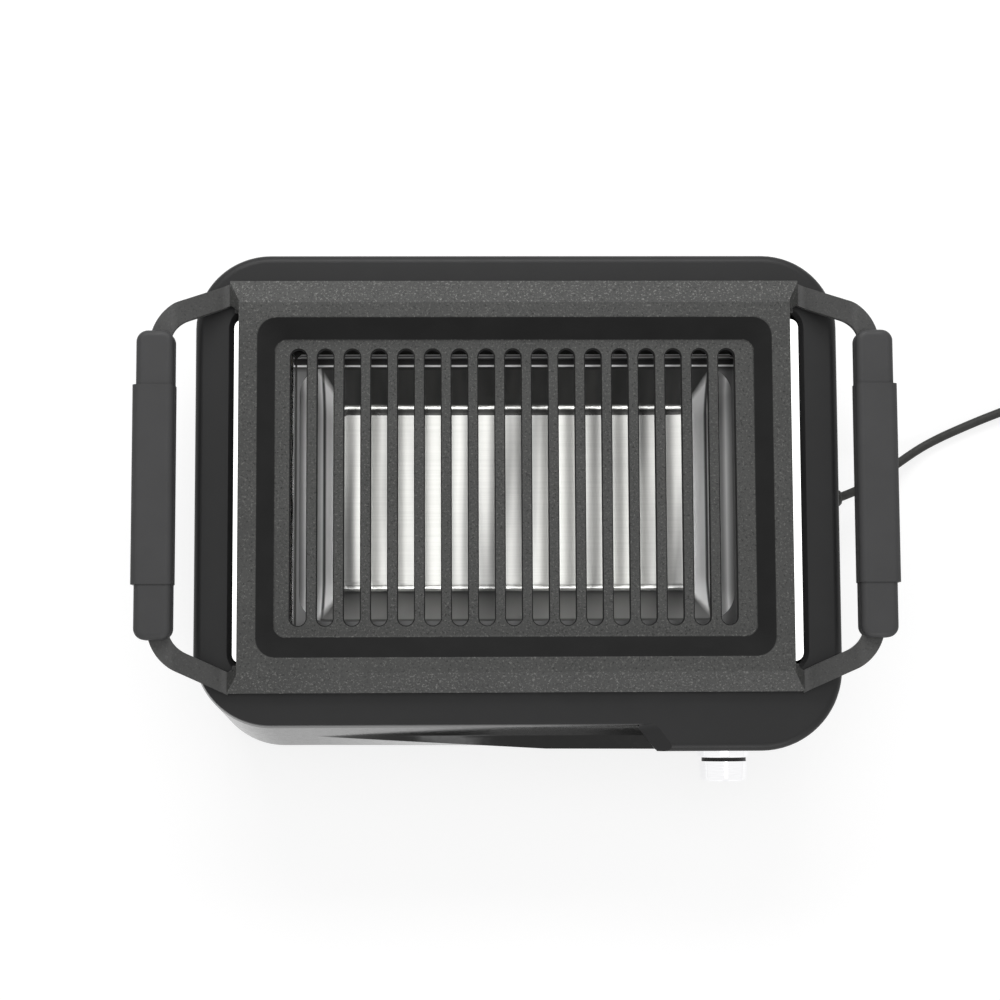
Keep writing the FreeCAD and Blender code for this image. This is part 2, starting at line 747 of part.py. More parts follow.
def handle_blank(z0, z1):
    """The U of the bar in plan, as a tall block."""
    outer = blank_half(BAR_W / 2, BAR_BEND_R + BAR_W / 2)
    inner = blank_half(-BAR_W / 2, BAR_BEND_R - BAR_W / 2)
    ends = [Part.makeLine(outer[-1].Vertexes[-1].Point, inner[-1].Vertexes[-1].Point),
            Part.makeLine(inner[0].Vertexes[0].Point, outer[0].Vertexes[0].Point)]
    half = Part.Face(Part.Wire(Part.__sortEdges__(outer + inner + ends)))
    half.translate(V(0, CENTRE_Y, z0))
    half = half.extrude(V(0, 0, z1 - z0))
    pad = box(BAR_ROOT_X, ROOT_PAD_X, CENTRE_Y + ROOT_PAD_IN, CENTRE_Y + ROOT_PAD_OUT, z0, z1)
    trim = box(BAR_ROOT_X - 5, ROOT_TRIM_X, CENTRE_Y + ROOT_PAD_OUT, CENTRE_Y + ROOT_PAD_OUT + 20, z0, z1)
    half = half.fuse(pad).cut(trim)
    return half.fuse(mirrored_y(half)).removeSplitter()


def bent_sheet():
    """The bar's thickness seen from the front: low at the plate, high at the grip."""
    high = GRIP_Z + BAR_T / 2
    run = BAR_TOP_X - BAR_BEND_X
    half_turn = math.atan((high - BAR_LOW_Z) / run) / 2
    shift = BAR_T * math.tan(half_turn)
    far = BAR_GRIP_X + BAR_W
    top = [V(BAR_ROOT_X - 5, 0, BAR_LOW_Z), V(BAR_BEND_X, 0, BAR_LOW_Z),
           V(BAR_TOP_X, 0, high), V(far, 0, high)]
    low = [V(far, 0, high - BAR_T), V(BAR_TOP_X + shift, 0, high - BAR_T),
           V(BAR_BEND_X + shift, 0, BAR_LOW_Z - BAR_T), V(BAR_ROOT_X - 5, 0, BAR_LOW_Z - BAR_T)]
    half_l = BAR_ROOT_DY + BAR_W
    sheet = polygon_prism(top + low, V(0, 2 * half_l, 0))
    sheet.translate(V(0, CENTRE_Y - half_l, 0))
    bends = edges_where(sheet, lambda b: b.YLength > half_l
                        and BAR_BEND_X - 1 < b.XMin < BAR_TOP_X + shift + 1)
    return sheet.makeFillet(BAR_FOLD_R, bends)


def handle_bar():
    bar = handle_blank(BAR_LOW_Z - BAR_T - 1, GRIP_Z + BAR_T).common(bent_sheet())
    for x in HANDLE_SCREW_X:
        for dy in (-HANDLE_SCREW_DY, HANDLE_SCREW_DY):
            y = CENTRE_Y + dy
            bar = bar.cut(cylinder(HANDLE_SCREW_R + SCREW_FIT, x, y, BAR_LOW_Z - BAR_T, BAR_LOW_Z))
            bar = bar.cut(screw_head(x, y, HANDLE_SCREW_HEAD_R + SCREW_FIT))
    return bar


def screw_head(x, y, radius):
    return Part.makeCone(radius, HANDLE_SCREW_R, radius - HANDLE_SCREW_R, V(x, y, BAR_LOW_Z - BAR_T))


def handle_screws():
    screws = []
    for x in HANDLE_SCREW_X:
        y = CENTRE_Y + HANDLE_SCREW_DY
        shank = cylinder(HANDLE_SCREW_R, x, y, BAR_LOW_Z - BAR_T, BAR_LOW_Z - BAR_T + HANDLE_SCREW_L)
        screws += four_corners(shank.fuse(screw_head(x, y, HANDLE_SCREW_HEAD_R)))
    return screws


def bar_channel():
    """The room that the bar takes in the grip, with its clearance."""
    return box(BAR_GRIP_X - BAR_W / 2 - BAR_FIT, BAR_GRIP_X + BAR_W / 2 + BAR_FIT,
               CENTRE_Y - CAP_HALF_L - 1, CENTRE_Y + CAP_HALF_L + 1,
               GRIP_Z - BAR_T / 2 - BAR_FIT, GRIP_Z + BAR_T / 2 + BAR_FIT)


def grip_sleeve():
    sleeve = box(GRIP_IN_X, GRIP_OUT_X, CENTRE_Y - SLEEVE_HALF_L, CENTRE_Y + SLEEVE_HALF_L,
                 GRIP_Z - GRIP_H / 2, GRIP_Z + GRIP_H / 2)
    sleeve = sleeve.makeFillet(GRIP_EDGE_R, edges_where(sleeve, lambda b: b.YLength > SLEEVE_HALF_L))
    return sleeve.cut(bar_channel())


def grip_cap():
    """The rear end cap of the grip, open where the bar enters it."""
    y0 = CENTRE_Y + SLEEVE_HALF_L
    y1 = CENTRE_Y + CAP_HALF_L
    cap = box(CAP_IN_X, CAP_OUT_X, y0, y1, GRIP_Z - CAP_H / 2, GRIP_Z + CAP_H / 2)
    cap = cap.makeFillet(CAP_END_R, edges_where(cap, lambda b: b.ZLength > 1 and b.YMin > y1 - 1))
    around = edges_where(cap, lambda b: b.ZLength < 0.01 and b.YMax > y0 + 0.1)
    cap = cap.makeFillet(CAP_EDGE_R, around)
    entry = box(CAP_IN_X - 1, BAR_GRIP_X + BAR_W / 2 + BAR_FIT, y1 - CAP_ENTRY_L, y1 + 1,
                GRIP_Z - BAR_T / 2 - BAR_FIT, GRIP_Z + BAR_T / 2 + BAR_FIT)
    blank = handle_blank(GRIP_Z - BAR_T, GRIP_Z + BAR_T)
    grown = blank.makeOffsetShape(BAR_FIT, 0.01, join=2)
    swept = grown.common(entry)
    deep = box(0, CAP_OUT_X, y0 - 1, y1 - CAP_BORE_END, 0, GRIP_Z + CAP_H)
    return cap.cut([bar_channel().common(deep), swept])


# Drip tray

def tray_hull(grow, drop):
    """The tray's wall surface, grown outwards by a thickness."""
    floor = rounded_rect(TRAY_FLOOR_X + grow, TRAY_FLOOR_Y + grow, TRAY_FLOOR_R + grow, TRAY_FLOOR_Z - drop)
    mouth = rounded_rect(TRAY_TOP_X + grow, TRAY_TOP_Y + grow, TRAY_TOP_R + grow, LINER_Z + TRAY_T)
    hull = loft(floor, mouth)
    return hull.makeFillet(TRAY_FILLET + grow, edges_where(hull, flat_at(TRAY_FLOOR_Z - drop)))


def drip_tray():
    flange = prism(rounded_rect(TRAY_EDGE_X, TRAY_EDGE_Y, TRAY_EDGE_R, LINER_Z), TRAY_T)
    bead = box(BEAD_INSET - TRAY_EDGE_X, TRAY_EDGE_X - BEAD_INSET, CENTRE_Y + BEAD_IN_Y,
               CENTRE_Y + TRAY_EDGE_Y, LINER_Z + TRAY_T, LINER_Z + TRAY_T + BEAD_H)
    tray = tray_hull(TRAY_T, TRAY_T).fuse([flange, bead, mirrored_y(bead)])
    return tray.cut(tray_hull(0.0, 0.0)).removeSplitter()


# Liner, posts, troughs and shields

def inner_liner():
    half_x = TRAY_TOP_X + TRAY_T + LINER_FIT_X
    half_y = TRAY_TOP_Y + TRAY_T + LINER_FIT_Y
    tub = prism(rounded_rect(half_x + LINER_T, half_y + LINER_T, LINER_R, LINER_FLOOR_Z - LINER_T),
                LINER_Z - LINER_FLOOR_Z)
    flange = prism(rounded_rect(FLANGE_X, FLANGE_Y, FLANGE_R, LINER_Z - LINER_T), LINER_T)
    hollow = prism(rounded_rect(half_x, half_y, TRAY_TOP_R, LINER_FLOOR_Z), LINER_Z)
    hole = cylinder(POST_SCREW_R + SCREW_FIT, POST_X, CENTRE_Y + POST_DY, LINER_Z - 5, LINER_Z + 5)
    holes = four_corners(hole)
    return tub.fuse(flange).cut([hollow] + holes)


def liner_posts():
    post = cylinder(POST_R, POST_X, CENTRE_Y + POST_DY, PAN_Z + PAN_FLOOR, LINER_Z - LINER_T)
    bore = cylinder(POST_SCREW_R + SCREW_FIT, POST_X, CENTRE_Y + POST_DY, LINER_Z - POST_SCREW_L - 1, LINER_Z)
    return four_corners(post.cut(bore))


def liner_screws():
    y = CENTRE_Y + POST_DY
    head = cylinder(POST_SCREW_HEAD_R, POST_X, y, LINER_Z, LINER_Z + POST_SCREW_HEAD_H)
    return four_corners(head.fuse(cylinder(POST_SCREW_R, POST_X, y, LINER_Z - POST_SCREW_L, LINER_Z + 1)))


def trough():
    """A bent sheet: inner lip, round bottom, outer wall and a flat edge at the mouth."""
    edge_x = MOUTH_X - TROUGH_EDGE_GAP
    def outline(t):
        inner_x = TROUGH_IN_X + t
        outer_x = TROUGH_OUT_X - t
        low = LINER_Z + t
        r_in = TROUGH_IN_R - t
        r_out = TROUGH_R - t
        k = math.sqrt(0.5)
        centre_in = V(TROUGH_IN_X + TROUGH_IN_R, 0, LINER_Z + TROUGH_IN_R)
        centre_out = V(TROUGH_OUT_X - TROUGH_R, 0, LINER_Z + TROUGH_R)
        arc_in = Part.Arc(V(inner_x, 0, centre_in.z), centre_in + V(-r_in * k, 0, -r_in * k),
                          V(centre_in.x, 0, low))
        arc_out = Part.Arc(V(centre_out.x, 0, low), centre_out + V(r_out * k, 0, -r_out * k),
                           V(outer_x, 0, centre_out.z))
        lip = Part.makeLine(V(inner_x, 0, TROUGH_LIP_Z), V(inner_x, 0, centre_in.z))
        floor = Part.makeLine(V(centre_in.x, 0, low), V(centre_out.x, 0, low))
        top_z = TROUGH_TOP_Z if t else TROUGH_TOP_Z - TROUGH_T
        wall = Part.makeLine(V(outer_x, 0, centre_out.z), V(outer_x, 0, top_z))
        edge = Part.makeLine(V(outer_x, 0, top_z), V(edge_x, 0, top_z))
        return [lip, arc_in.toShape(), floor, arc_out.toShape(), wall, edge]
    outside = outline(0.0)
    inside = outline(TROUGH_T)
    ends = [Part.makeLine(outside[0].Vertexes[0].Point, inside[0].Vertexes[0].Point),
            Part.makeLine(outside[-1].Vertexes[-1].Point, inside[-1].Vertexes[-1].Point)]
    face = Part.Face(Part.Wire(Part.__sortEdges__(outside + inside + ends)))
    sheet = face.extrude(V(0, 2 * TROUGH_HALF_L, 0))
    sheet.translate(V(0, CENTRE_Y - TROUGH_HALF_L, 0))
    room = rounded_rect(edge_x, TROUGH_HALF_L, TROUGH_CORNER_R, LINER_Z)
    return sheet.common(prism(room, TOP_Z - LINER_Z))


def heating_rod():
    def tube(radius):
        return Part.makeCylinder(radius, 2 * ROD_HALF_L, V(ROD_X, CENTRE_Y - ROD_HALF_L, ROD_Z), V(0, 1, 0))
    return tube(ROD_R).cut(tube(ROD_R - ROD_WALL))


def heating_wire():
    """The coiled element inside the quartz, as its outer tube."""
    radius = ROD_R - ROD_WALL - 0.3
    length = 2 * (ROD_HALF_L - CERAMIC_GRIP)
    return Part.makeCylinder(radius, length, V(ROD_X, CENTRE_Y - length / 2, ROD_Z), V(0, 1, 0))


def ceramic_ends():
    inner = CENTRE_Y + ROD_HALF_L - CERAMIC_GRIP
    body = Part.makeCylinder(CAP_R, CERAMIC_L, V(ROD_X, inner, ROD_Z), V(0, 1, 0))
    seat = Part.makeCylinder(ROD_R, CERAMIC_GRIP, V(ROD_X, inner, ROD_Z), V(0, 1, 0))
    return four_corners(body.cut(seat))


def rod_brackets():
    """Four angles that hold the ceramic ends above the troughs' floors."""
    y = CENTRE_Y + BRACKET_DY
    floor = LINER_Z + TROUGH_T
    x0 = ROD_X - BRACKET_NECK_OUT
    x1 = ROD_X + BRACKET_NECK_IN
    upright = box(ROD_X - BRACKET_W / 2, ROD_X + BRACKET_W / 2, y, y + BRACKET_T,
                  floor + BRACKET_NECK_H, BRACKET_TOP_Z)
    neck = box(x0, x1, y, y + BRACKET_T, floor, floor + BRACKET_NECK_H + 1)
    foot = box(x0, x1, y - BRACKET_FOOT, y + BRACKET_T, floor, floor + BRACKET_T)
    hole = Part.makeCylinder(CAP_R + SCREW_FIT, 10, V(ROD_X, y - 5, ROD_Z), V(0, 1, 0))
    return four_corners(upright.fuse([neck, foot]).cut(hole))


def rod_tabs():
    y = CENTRE_Y + ROD_HALF_L - CERAMIC_GRIP + CERAMIC_L
    return four_corners(box(ROD_X - TAB_W / 2, ROD_X + TAB_W / 2, y, y + TAB_L,
                            ROD_Z - TAB_T / 2, ROD_Z + TAB_T / 2))


def chamber_shield():
    """The rear sheet between the liner's flange and the housing's top."""
    half_x = TROUGH_IN_X
    y = CENTRE_Y + CHAMBER_DY
    upright = box(-half_x, half_x, y, y + SHIELD_T, LINER_Z, SHIELD_TOP_Z)
    foot = box(-half_x, half_x, y - SHIELD_FOOT, y + SHIELD_T, LINER_Z, LINER_Z + SHIELD_T)
    return upright.fuse(foot).removeSplitter()


def side_shield():
    """The sheet between a trough and the housing's side."""
    half_l = TROUGH_HALF_L - SIDE_SHIELD_INSET
    upright = box(SIDE_SHIELD_X, SIDE_SHIELD_X + SHIELD_T, CENTRE_Y - half_l, CENTRE_Y + half_l,
                  LINER_Z, TROUGH_TOP_Z - TROUGH_T)
    foot = box(TROUGH_OUT_X, SIDE_SHIELD_X + SHIELD_T, CENTRE_Y - half_l, CENTRE_Y + half_l,
               LINER_Z, LINER_Z + SHIELD_T)
    return upright.fuse(foot).removeSplitter()


# Knob and switch

def turned(profile, y_from):
    """A solid of revolution about the knob's axis, from (radius, depth) pairs."""
    points = [V(KNOB_X + r, y_from - d, KNOB_Z) for r, d in profile]
    face = Part.Face(Part.makePolygon(points + points[:1]))
    return face.revolve(V(KNOB_X, 0, KNOB_Z), V(0, 1, 0), 360)


def knob_ring():
    bore = SWITCH_NECK_R + RING_BORE_GAP
    recess = GROOVE_R + KNOB_GAP
    return turned([(bore, 0), (RING_R, 0), (RING_R, RING_T - RING_EDGE), (RING_R - RING_EDGE, RING_T),
                   (recess, RING_T), (recess, RING_FLOOR), (bore, RING_FLOOR)], POD_Y)


def knob_back_y():
    return POD_Y - RING_T - GROOVE_T


def knob():
    """A plain turned cap, hollow behind, with a hub for the shaft."""
    back = -knob_back_y()
    depth = -KNOB_FRONT_Y - back
    tip = KNOB_R - KNOB_TAPER
    rounding = [(tip - KNOB_FRONT_R * (1 - math.sin(a)), depth - KNOB_FRONT_R * (1 - math.cos(a)))
                for a in (math.radians(d) for d in (90, 60, 30, 0))]
    inner = KNOB_R - KNOB_WALL
    floor = depth - KNOB_WALL
    profile = [(0, depth)] + rounding[::-1] + [(KNOB_R, 0), (inner, 0), (inner, floor), (HUB_R, floor),
                                               (HUB_R, 0), (0, 0)]
    cap = turned(profile, knob_back_y())
    bore = Part.makeCylinder(SHAFT_R + SHAFT_FIT, floor - 1, V(KNOB_X, knob_back_y(), KNOB_Z), V(0, -1, 0))
    return cap.cut([bore, knob_pointer()])


def knob_skirt():
    """The dark collar between the ring and the chrome cap; it turns with the knob."""
    inner = HUB_R + SHAFT_FIT
    back = RING_FLOOR + KNOB_GAP - GROOVE_T - RING_T
    return turned([(inner, 0), (GROOVE_R, 0), (GROOVE_R, back), (inner, back)], knob_back_y())


def knob_pointer():
    return box(KNOB_X - POINTER_W / 2, KNOB_X + POINTER_W / 2, KNOB_FRONT_Y, KNOB_FRONT_Y + POINTER_T,
               KNOB_Z + KNOB_R - KNOB_FRONT_R - POINTER_L, KNOB_Z + KNOB_R - KNOB_FRONT_R - 1)


def switch_face_y():
    return front_y(KNOB_Z) + WALL + SWITCH_GAP


def knob_shaft():
    tip_y = KNOB_FRONT_Y + KNOB_WALL + 1.5
    length = switch_face_y() + SHAFT_DEPTH - SHAFT_END_GAP - tip_y
    return Part.makeCylinder(SHAFT_R, length, V(KNOB_X, tip_y, KNOB_Z), V(0, 1, 0))


def rotary_switch():
    y = switch_face_y()
    body = box(KNOB_X - SWITCH_W / 2, KNOB_X + SWITCH_W / 2, y, y + SWITCH_D,
               KNOB_Z - SWITCH_H / 2, KNOB_Z + SWITCH_H / 2)
    body = body.makeFillet(2.0, edges_where(body, lambda b: b.YLength > 5))
    front = POD_Y - SWITCH_NECK_OUT
    neck = Part.makeCylinder(SWITCH_NECK_R, y - front, V(KNOB_X, front, KNOB_Z), V(0, 1, 0))
    bore = Part.makeCylinder(SHAFT_R + SHAFT_FIT, y + SHAFT_DEPTH + 1 - front,
                             V(KNOB_X, front - 1, KNOB_Z), V(0, 1, 0))
    tabs = [box(KNOB_X + dx - TAB_T / 2, KNOB_X + dx + TAB_T / 2, y + SWITCH_D, y + SWITCH_D + SWITCH_TAB_L,
                KNOB_Z - TAB_W / 2, KNOB_Z + TAB_W / 2) for dx in (-SWITCH_TAB_X, 0, SWITCH_TAB_X)]
    return body.fuse([neck] + tabs).cut(bore)


def switch_bracket():
    """The plate that the switch is nutted to, on two spacers behind the pod's wall."""
    y = switch_face_y() - SWITCH_PLATE_T
    half = SWITCH_PLATE_W / 2
    plate = box(KNOB_X - half, KNOB_X + half, y, y + SWITCH_PLATE_T, KNOB_Z - 9, KNOB_Z + 9)
    wall_y = front_y(KNOB_Z) + WALL + 0.4
    spacers = [Part.makeCylinder(SPACER_R, y - wall_y, V(KNOB_X + s * (half - 5), wall_y, KNOB_Z), V(0, 1, 0))
               for s in (-1, 1)]
    hole = Part.makeCylinder(SWITCH_NECK_R + SCREW_FIT, 20, V(KNOB_X, y - 10, KNOB_Z), V(0, 1, 0))
    return plate.fuse(spacers).cut(hole)


# Electrical pieces

def terminal_block():
    floor = PAN_Z + PAN_FLOOR
    block = box(BLOCK_X - BLOCK_W / 2, BLOCK_X + BLOCK_W / 2, GLAND_Y - BLOCK_L / 2, GLAND_Y + BLOCK_L / 2,
                floor, floor + BLOCK_H)
    ways = []
    for i in (-1, 0, 1):
        ways.append(cylinder(3.0, BLOCK_X, GLAND_Y + i * BLOCK_L / 3, floor + BLOCK_H - 4, floor + BLOCK_H))
    return block.cut(ways)


def cord_clamp():
    floor = PAN_Z + PAN_FLOOR
    post = box(CLAMP_X - CLAMP_W / 2, CLAMP_X + CLAMP_W / 2, GLAND_Y - CLAMP_L / 2, GLAND_Y + CLAMP_L / 2,
               floor, GLAND_Z + CLAMP_H)
    hole = Part.makeCylinder(CORD_D / 2 + 0.1, 40, V(CLAMP_X - 20, GLAND_Y, GLAND_Z), V(1, 0, 0))
    return post.cut(hole)


def inner_lead():
    """The cord's own end, from the gland through the clamp towards the block."""
    end_x = CLAMP_X - CLAMP_W / 2 - LEAD_STUB
    return Part.makeCylinder(CORD_D / 2, gland_inner_x() - end_x, V(end_x, GLAND_Y, GLAND_Z), V(1, 0, 0))


def wall_x(z):
    return SIDE_X - taper_at(z)


def gland_inner_x():
    return wall_x(GLAND_Z) - WALL - 0.6 - GLAND_FLANGE_T


def cord_gland():
    """Strain relief: inner flange, neck through the wall, collar and tapered tail."""
    start = gland_inner_x()
    outside = wall_x(GLAND_Z) + 0.6
    profile = [(0, start), (GLAND_FLANGE_R, start), (GLAND_FLANGE_R, start + GLAND_FLANGE_T),
               (GLAND_R, start + GLAND_FLANGE_T), (GLAND_R, outside), (GLAND_FLANGE_R, outside),
               (GLAND_FLANGE_R - 1, outside + GLAND_FLANGE_T), (GLAND_R - 1, outside + GLAND_FLANGE_T + 1),
               (GLAND_TIP_R, GLAND_END_X - GLAND_TIP_EDGE), (GLAND_TIP_R - GLAND_TIP_EDGE, GLAND_END_X),
               (0, GLAND_END_X)]
    points = [V(x, GLAND_Y + r, GLAND_Z) for r, x in profile]
    face = Part.Face(Part.makePolygon(points + points[:1]))
    return face.revolve(V(0, GLAND_Y, GLAND_Z), V(1, 0, 0), 360)


def thermal_cutout():
    y = CENTRE_Y + CUTOUT_DY
    top = LINER_Z - LINER_T
    can = cylinder(CUTOUT_R, CUTOUT_X, y, top - CUTOUT_H, top)
    middles = [y - CUTOUT_TAB_DY, y + CUTOUT_TAB_DY]
    low = top - CUTOUT_H
    tabs = [box(CUTOUT_X - TAB_W / 2, CUTOUT_X + TAB_W / 2, m - TAB_T / 2, m + TAB_T / 2,
                low - CUTOUT_TAB_L, low) for m in middles]
    return can.fuse(tabs)


def rounded_path(points, radius):
    """Straight runs joined by tangent arcs of one radius."""
    edges = []
    start = points[0]
    for before, corner, after in zip(points, points[1:], points[2:]):
        back = (before - corner).normalize()
        ahead = (after - corner).normalize()
        half = back.getAngle(ahead) / 2
        reach = radius / math.tan(half)
        a = corner + back * reach
        b = corner + ahead * reach
        top = corner + (back + ahead).normalize() * (radius / math.sin(half) - radius)
        edges += [Part.makeLine(start, a), Part.Arc(a, top, b).toShape()]
        start = b
    return Part.Wire(edges + [Part.makeLine(start, points[-1])])


def tube_along(path, radius):
    first = path.OrderedEdges[0]
    start = first.valueAt(first.FirstParameter)
    heading = first.tangentAt(first.FirstParameter)
    ring = Part.Wire(Part.Circle(start, heading, radius).toShape())
    return path.makePipeShell([ring], True, False)


def rod_leads():
    """From each rod's end down past the liner's edge and along the floor to the block."""
    tab_y = ROD_HALF_L - CERAMIC_GRIP + CERAMIC_L + TAB_L
    out_dy = FLANGE_Y + 8
    leads = []
    for side in (-1, 1):
        for end in (-1, 1):
            x = side * ROD_X
            far = CENTRE_Y + end * out_dy
            points = [V(x, CENTRE_Y + end * tab_y, ROD_Z), V(x, far, ROD_Z), V(x, far, WIRE_Z)]
            if side > 0:
                points.append(V(x, GLAND_Y + end * BLOCK_L / 2, WIRE_Z))
            else:
                y = GLAND_Y + end * BLOCK_L / 3
                points += [V(x, y, WIRE_Z), V(BLOCK_X - BLOCK_W / 2, y, WIRE_Z)]
            leads.append(tube_along(rounded_path(points, WIRE_BEND), WIRE_R))
    return leads


def switch_leads():
    """From the two outer tabs of the switch down and back to the block."""
    start_y = switch_face_y() + SWITCH_D + SWITCH_TAB_L
    block_y = GLAND_Y - BLOCK_L / 2
    leads = []
    for tab_x, block_x, z in ((KNOB_X - SWITCH_TAB_X, BLOCK_X - 6, WIRE_Z),
                              (KNOB_X + SWITCH_TAB_X, BLOCK_X - 2, WIRE_UPPER_Z)):
        down_y = start_y + WIRE_BEND + 1
        points = [V(tab_x, start_y, KNOB_Z), V(tab_x, down_y, KNOB_Z), V(tab_x, down_y, z),
                  V(block_x, down_y + 20, z), V(block_x, block_y, z)]
        leads.append(tube_along(rounded_path(points, WIRE_BEND), WIRE_R))
    return leads


def cutout_leads():
    """From the cut-out's two tabs down and forward to the block."""
    y = CENTRE_Y + CUTOUT_DY
    top = LINER_Z - LINER_T - CUTOUT_H - CUTOUT_TAB_L
    leads = []
    for tab, z in ((-1, WIRE_Z), (1, WIRE_UPPER_Z)):
        start = V(CUTOUT_X, y + tab * CUTOUT_TAB_DY, top)
        points = [start, V(start.x, start.y, z), V(start.x, GLAND_Y + BLOCK_L / 2, z)]
        leads.append(tube_along(rounded_path(points, WIRE_BEND), WIRE_R))
    return leads


def cord_cores():
    """The cord's three cores, spread into the block's screw ways."""
    start_x = CLAMP_X - CLAMP_W / 2 - LEAD_STUB
    way_z = PAN_Z + PAN_FLOOR + BLOCK_H - 4
    leads = []
    for i in (-1, 0, 1):
        y = GLAND_Y + i * (2 * CORE_R + 0.1)
        way_y = GLAND_Y + i * BLOCK_L / 3
        points = [V(start_x, y, GLAND_Z)]
        if i:
            points.append(V(start_x - 4, y, GLAND_Z))
        points += [V(BLOCK_X, way_y, GLAND_Z), V(BLOCK_X, way_y, way_z)]
        leads.append(tube_along(rounded_path(points, CORE_BEND), CORE_R))
    return leads


# Cord, coil, tie and plug

def cord_path(points):
    """Runs joined by arcs as large as the runs allow; prints each arc's radius."""
    edges = []
    start = points[0]
    radii = []
    for before, corner, after in zip(points, points[1:], points[2:]):
        back = before - corner
        ahead = after - corner
        reach = 0.45 * min(back.Length, ahead.Length)
        half_turn = (math.pi - back.getAngle(ahead)) / 2
        radius = reach / math.tan(half_turn)
        back.normalize()
        ahead.normalize()
        a = corner + back * reach
        b = corner + ahead * reach
        top = corner + (back + ahead).normalize() * (radius / math.cos(half_turn) - radius)
        edges += [Part.makeLine(start, a), Part.Arc(a, top, b).toShape()]
        radii.append(round(radius, 1))
        start = b
    print("cord arc radii", radii, "least over diameter", round(min(radii) / CORD_D, 1))
    return Part.Wire(edges + [Part.makeLine(start, points[-1])])


def coil_heading():
    angle = math.radians(COIL_HEADING)
    return V(math.cos(angle), math.sin(angle), 0)


def coil_path():
    """Two layers: quarter turns inwards, a half turn that climbs, quarter turns outwards."""
    heading = coil_heading()
    place = COIL_START + heading * CORD_D
    edges = [Part.makeLine(COIL_START, place)]
    radius = COIL_OUTER_R

    def turn(place, heading, radius, tilt, quarters):
        side = heading.cross(UP)
        inward = side * math.cos(tilt) + UP * math.sin(tilt)
        centre = place + inward * radius
        sweep = quarters * math.pi / 2

        def at(angle):
            return centre - inward * (radius * math.cos(angle)) + heading * (radius * math.sin(angle))
        end = at(sweep)
        edges.append(Part.Arc(place, at(sweep / 2), end).toShape())
        return end, (heading * math.cos(sweep) + inward * math.sin(sweep)).normalize()

    for _ in range(QUARTERS_IN):
        place, heading = turn(place, heading, radius, 0.0, 1)
        radius -= COIL_PITCH / 4
    place, heading = turn(place, heading, radius, math.asin(COIL_LAYER / 2 / radius), 2)
    for _ in range(QUARTERS_OUT):
        radius += COIL_PITCH / 4
        place, heading = turn(place, heading, radius, 0.0, 1)
    end = place + heading * COIL_TAIL
    edges.append(Part.makeLine(place, end))
    return Part.Wire(edges), end, heading


def coil_samples(path, step=1.5):
    """Points along the coil with their distance along it."""
    samples = []
    run = 0.0
    for edge in path.OrderedEdges:
        count = max(2, int(edge.Length / step))
        points = edge.discretize(count + 1)
        ordered = points
        if samples and (points[0] - samples[-1][1]).Length > (points[-1] - samples[-1][1]).Length:
            ordered = points[::-1]
        for i, point in enumerate(ordered[1:], 1):
            samples.append((run + edge.Length * i / count, point))
        run += edge.Length
    return samples


def print_least_gap(samples):
    least = 1e9
    for i, (along, point) in enumerate(samples):
        for other_along, other in samples[i + 1:]:
            if other_along - along > 4 * CORD_D:
                least = min(least, (other - point).Length)
    print("coil least gap to itself", round(least - CORD_D, 2))


def cord_tie(samples):
    """A band round all the turns at one side of the coil."""
    centre = COIL_START + coil_heading() * CORD_D + coil_heading().cross(UP) * COIL_OUTER_R
    angle = math.radians(TIE_ANGLE)
    out = V(math.cos(angle), math.sin(angle), 0)
    along = UP.cross(out)
    spokes = [p - centre for _, p in samples]
    near = [p for p in spokes if abs(p.dot(along)) < TIE_W / 2 + 1 and p.dot(out) > 0]
    r0 = min(p.dot(out) for p in near) - CORD_D / 2 - TIE_FIT
    r1 = max(p.dot(out) for p in near) + CORD_D / 2 + TIE_FIT
    z0 = TIE_T
    z1 = COIL_START.z + COIL_LAYER + CORD_D / 2 + TIE_FIT

    def block(grow):
        corner = V(r0 - grow, -TIE_W / 2, z0 - grow)
        body = Part.makeBox(r1 - r0 + 2 * grow, TIE_W, z1 - z0 + 2 * grow, corner)
        return body.makeFillet(TIE_CORNER_R + grow, edges_where(body, lambda b: b.YLength > TIE_W / 2))
    band = block(TIE_T).cut(block(0.0))
    band.rotate(V(0, 0, 0), UP, TIE_ANGLE)
    band.translate(V(centre.x, centre.y, 0))
    return band


def plug(end, heading):
    """A flat two-pin plug in line with the cord's end, resting on the surface."""
    half_h = end.z - PLUG_LIFT
    place = FreeCAD.Placement(end, FreeCAD.Rotation(heading, UP.cross(heading), UP, "ZXY"))

    def section(x, half_w, half_t, radius):
        wire = rounded_outline(-half_w, half_w, -half_t, half_t, radius, radius, 0)
        wire.Placement = FreeCAD.Placement(V(x, 0, 0), FreeCAD.Rotation(V(0, 1, 0), UP, V(1, 0, 0), "XYZ"))
        return wire
    body_x = PLUG_NECK_L + PLUG_BODY_L
    neck = Part.makeCone(PLUG_NECK_R, PLUG_NECK_R + 1.5, PLUG_NECK_L, V(0, 0, 0), V(1, 0, 0))
    shoulder = PLUG_NECK_L + PLUG_BODY_L * 0.3
    body = loft(section(PLUG_NECK_L - 2, PLUG_TAIL_W / 2, half_h * 0.7, PLUG_R - 0.5),
                section(shoulder, PLUG_W / 2, half_h, PLUG_R),
                section(body_x, PLUG_W / 2, half_h, PLUG_R))
    body = body.fuse(neck)
    pins = []
    for side in (-1, 1):
        y = side * PIN_SPACING / 2
        pin = Part.makeCylinder(PIN_R, PIN_L, V(body_x, y, 0), V(1, 0, 0))
        pins.append(pin.makeFillet(1.2, edges_where(pin, lambda b: b.XMin > body_x + PIN_L - 0.1)))
    for shape in [body] + pins:
        shape.Placement = place.multiply(shape.Placement)
    return body, pins


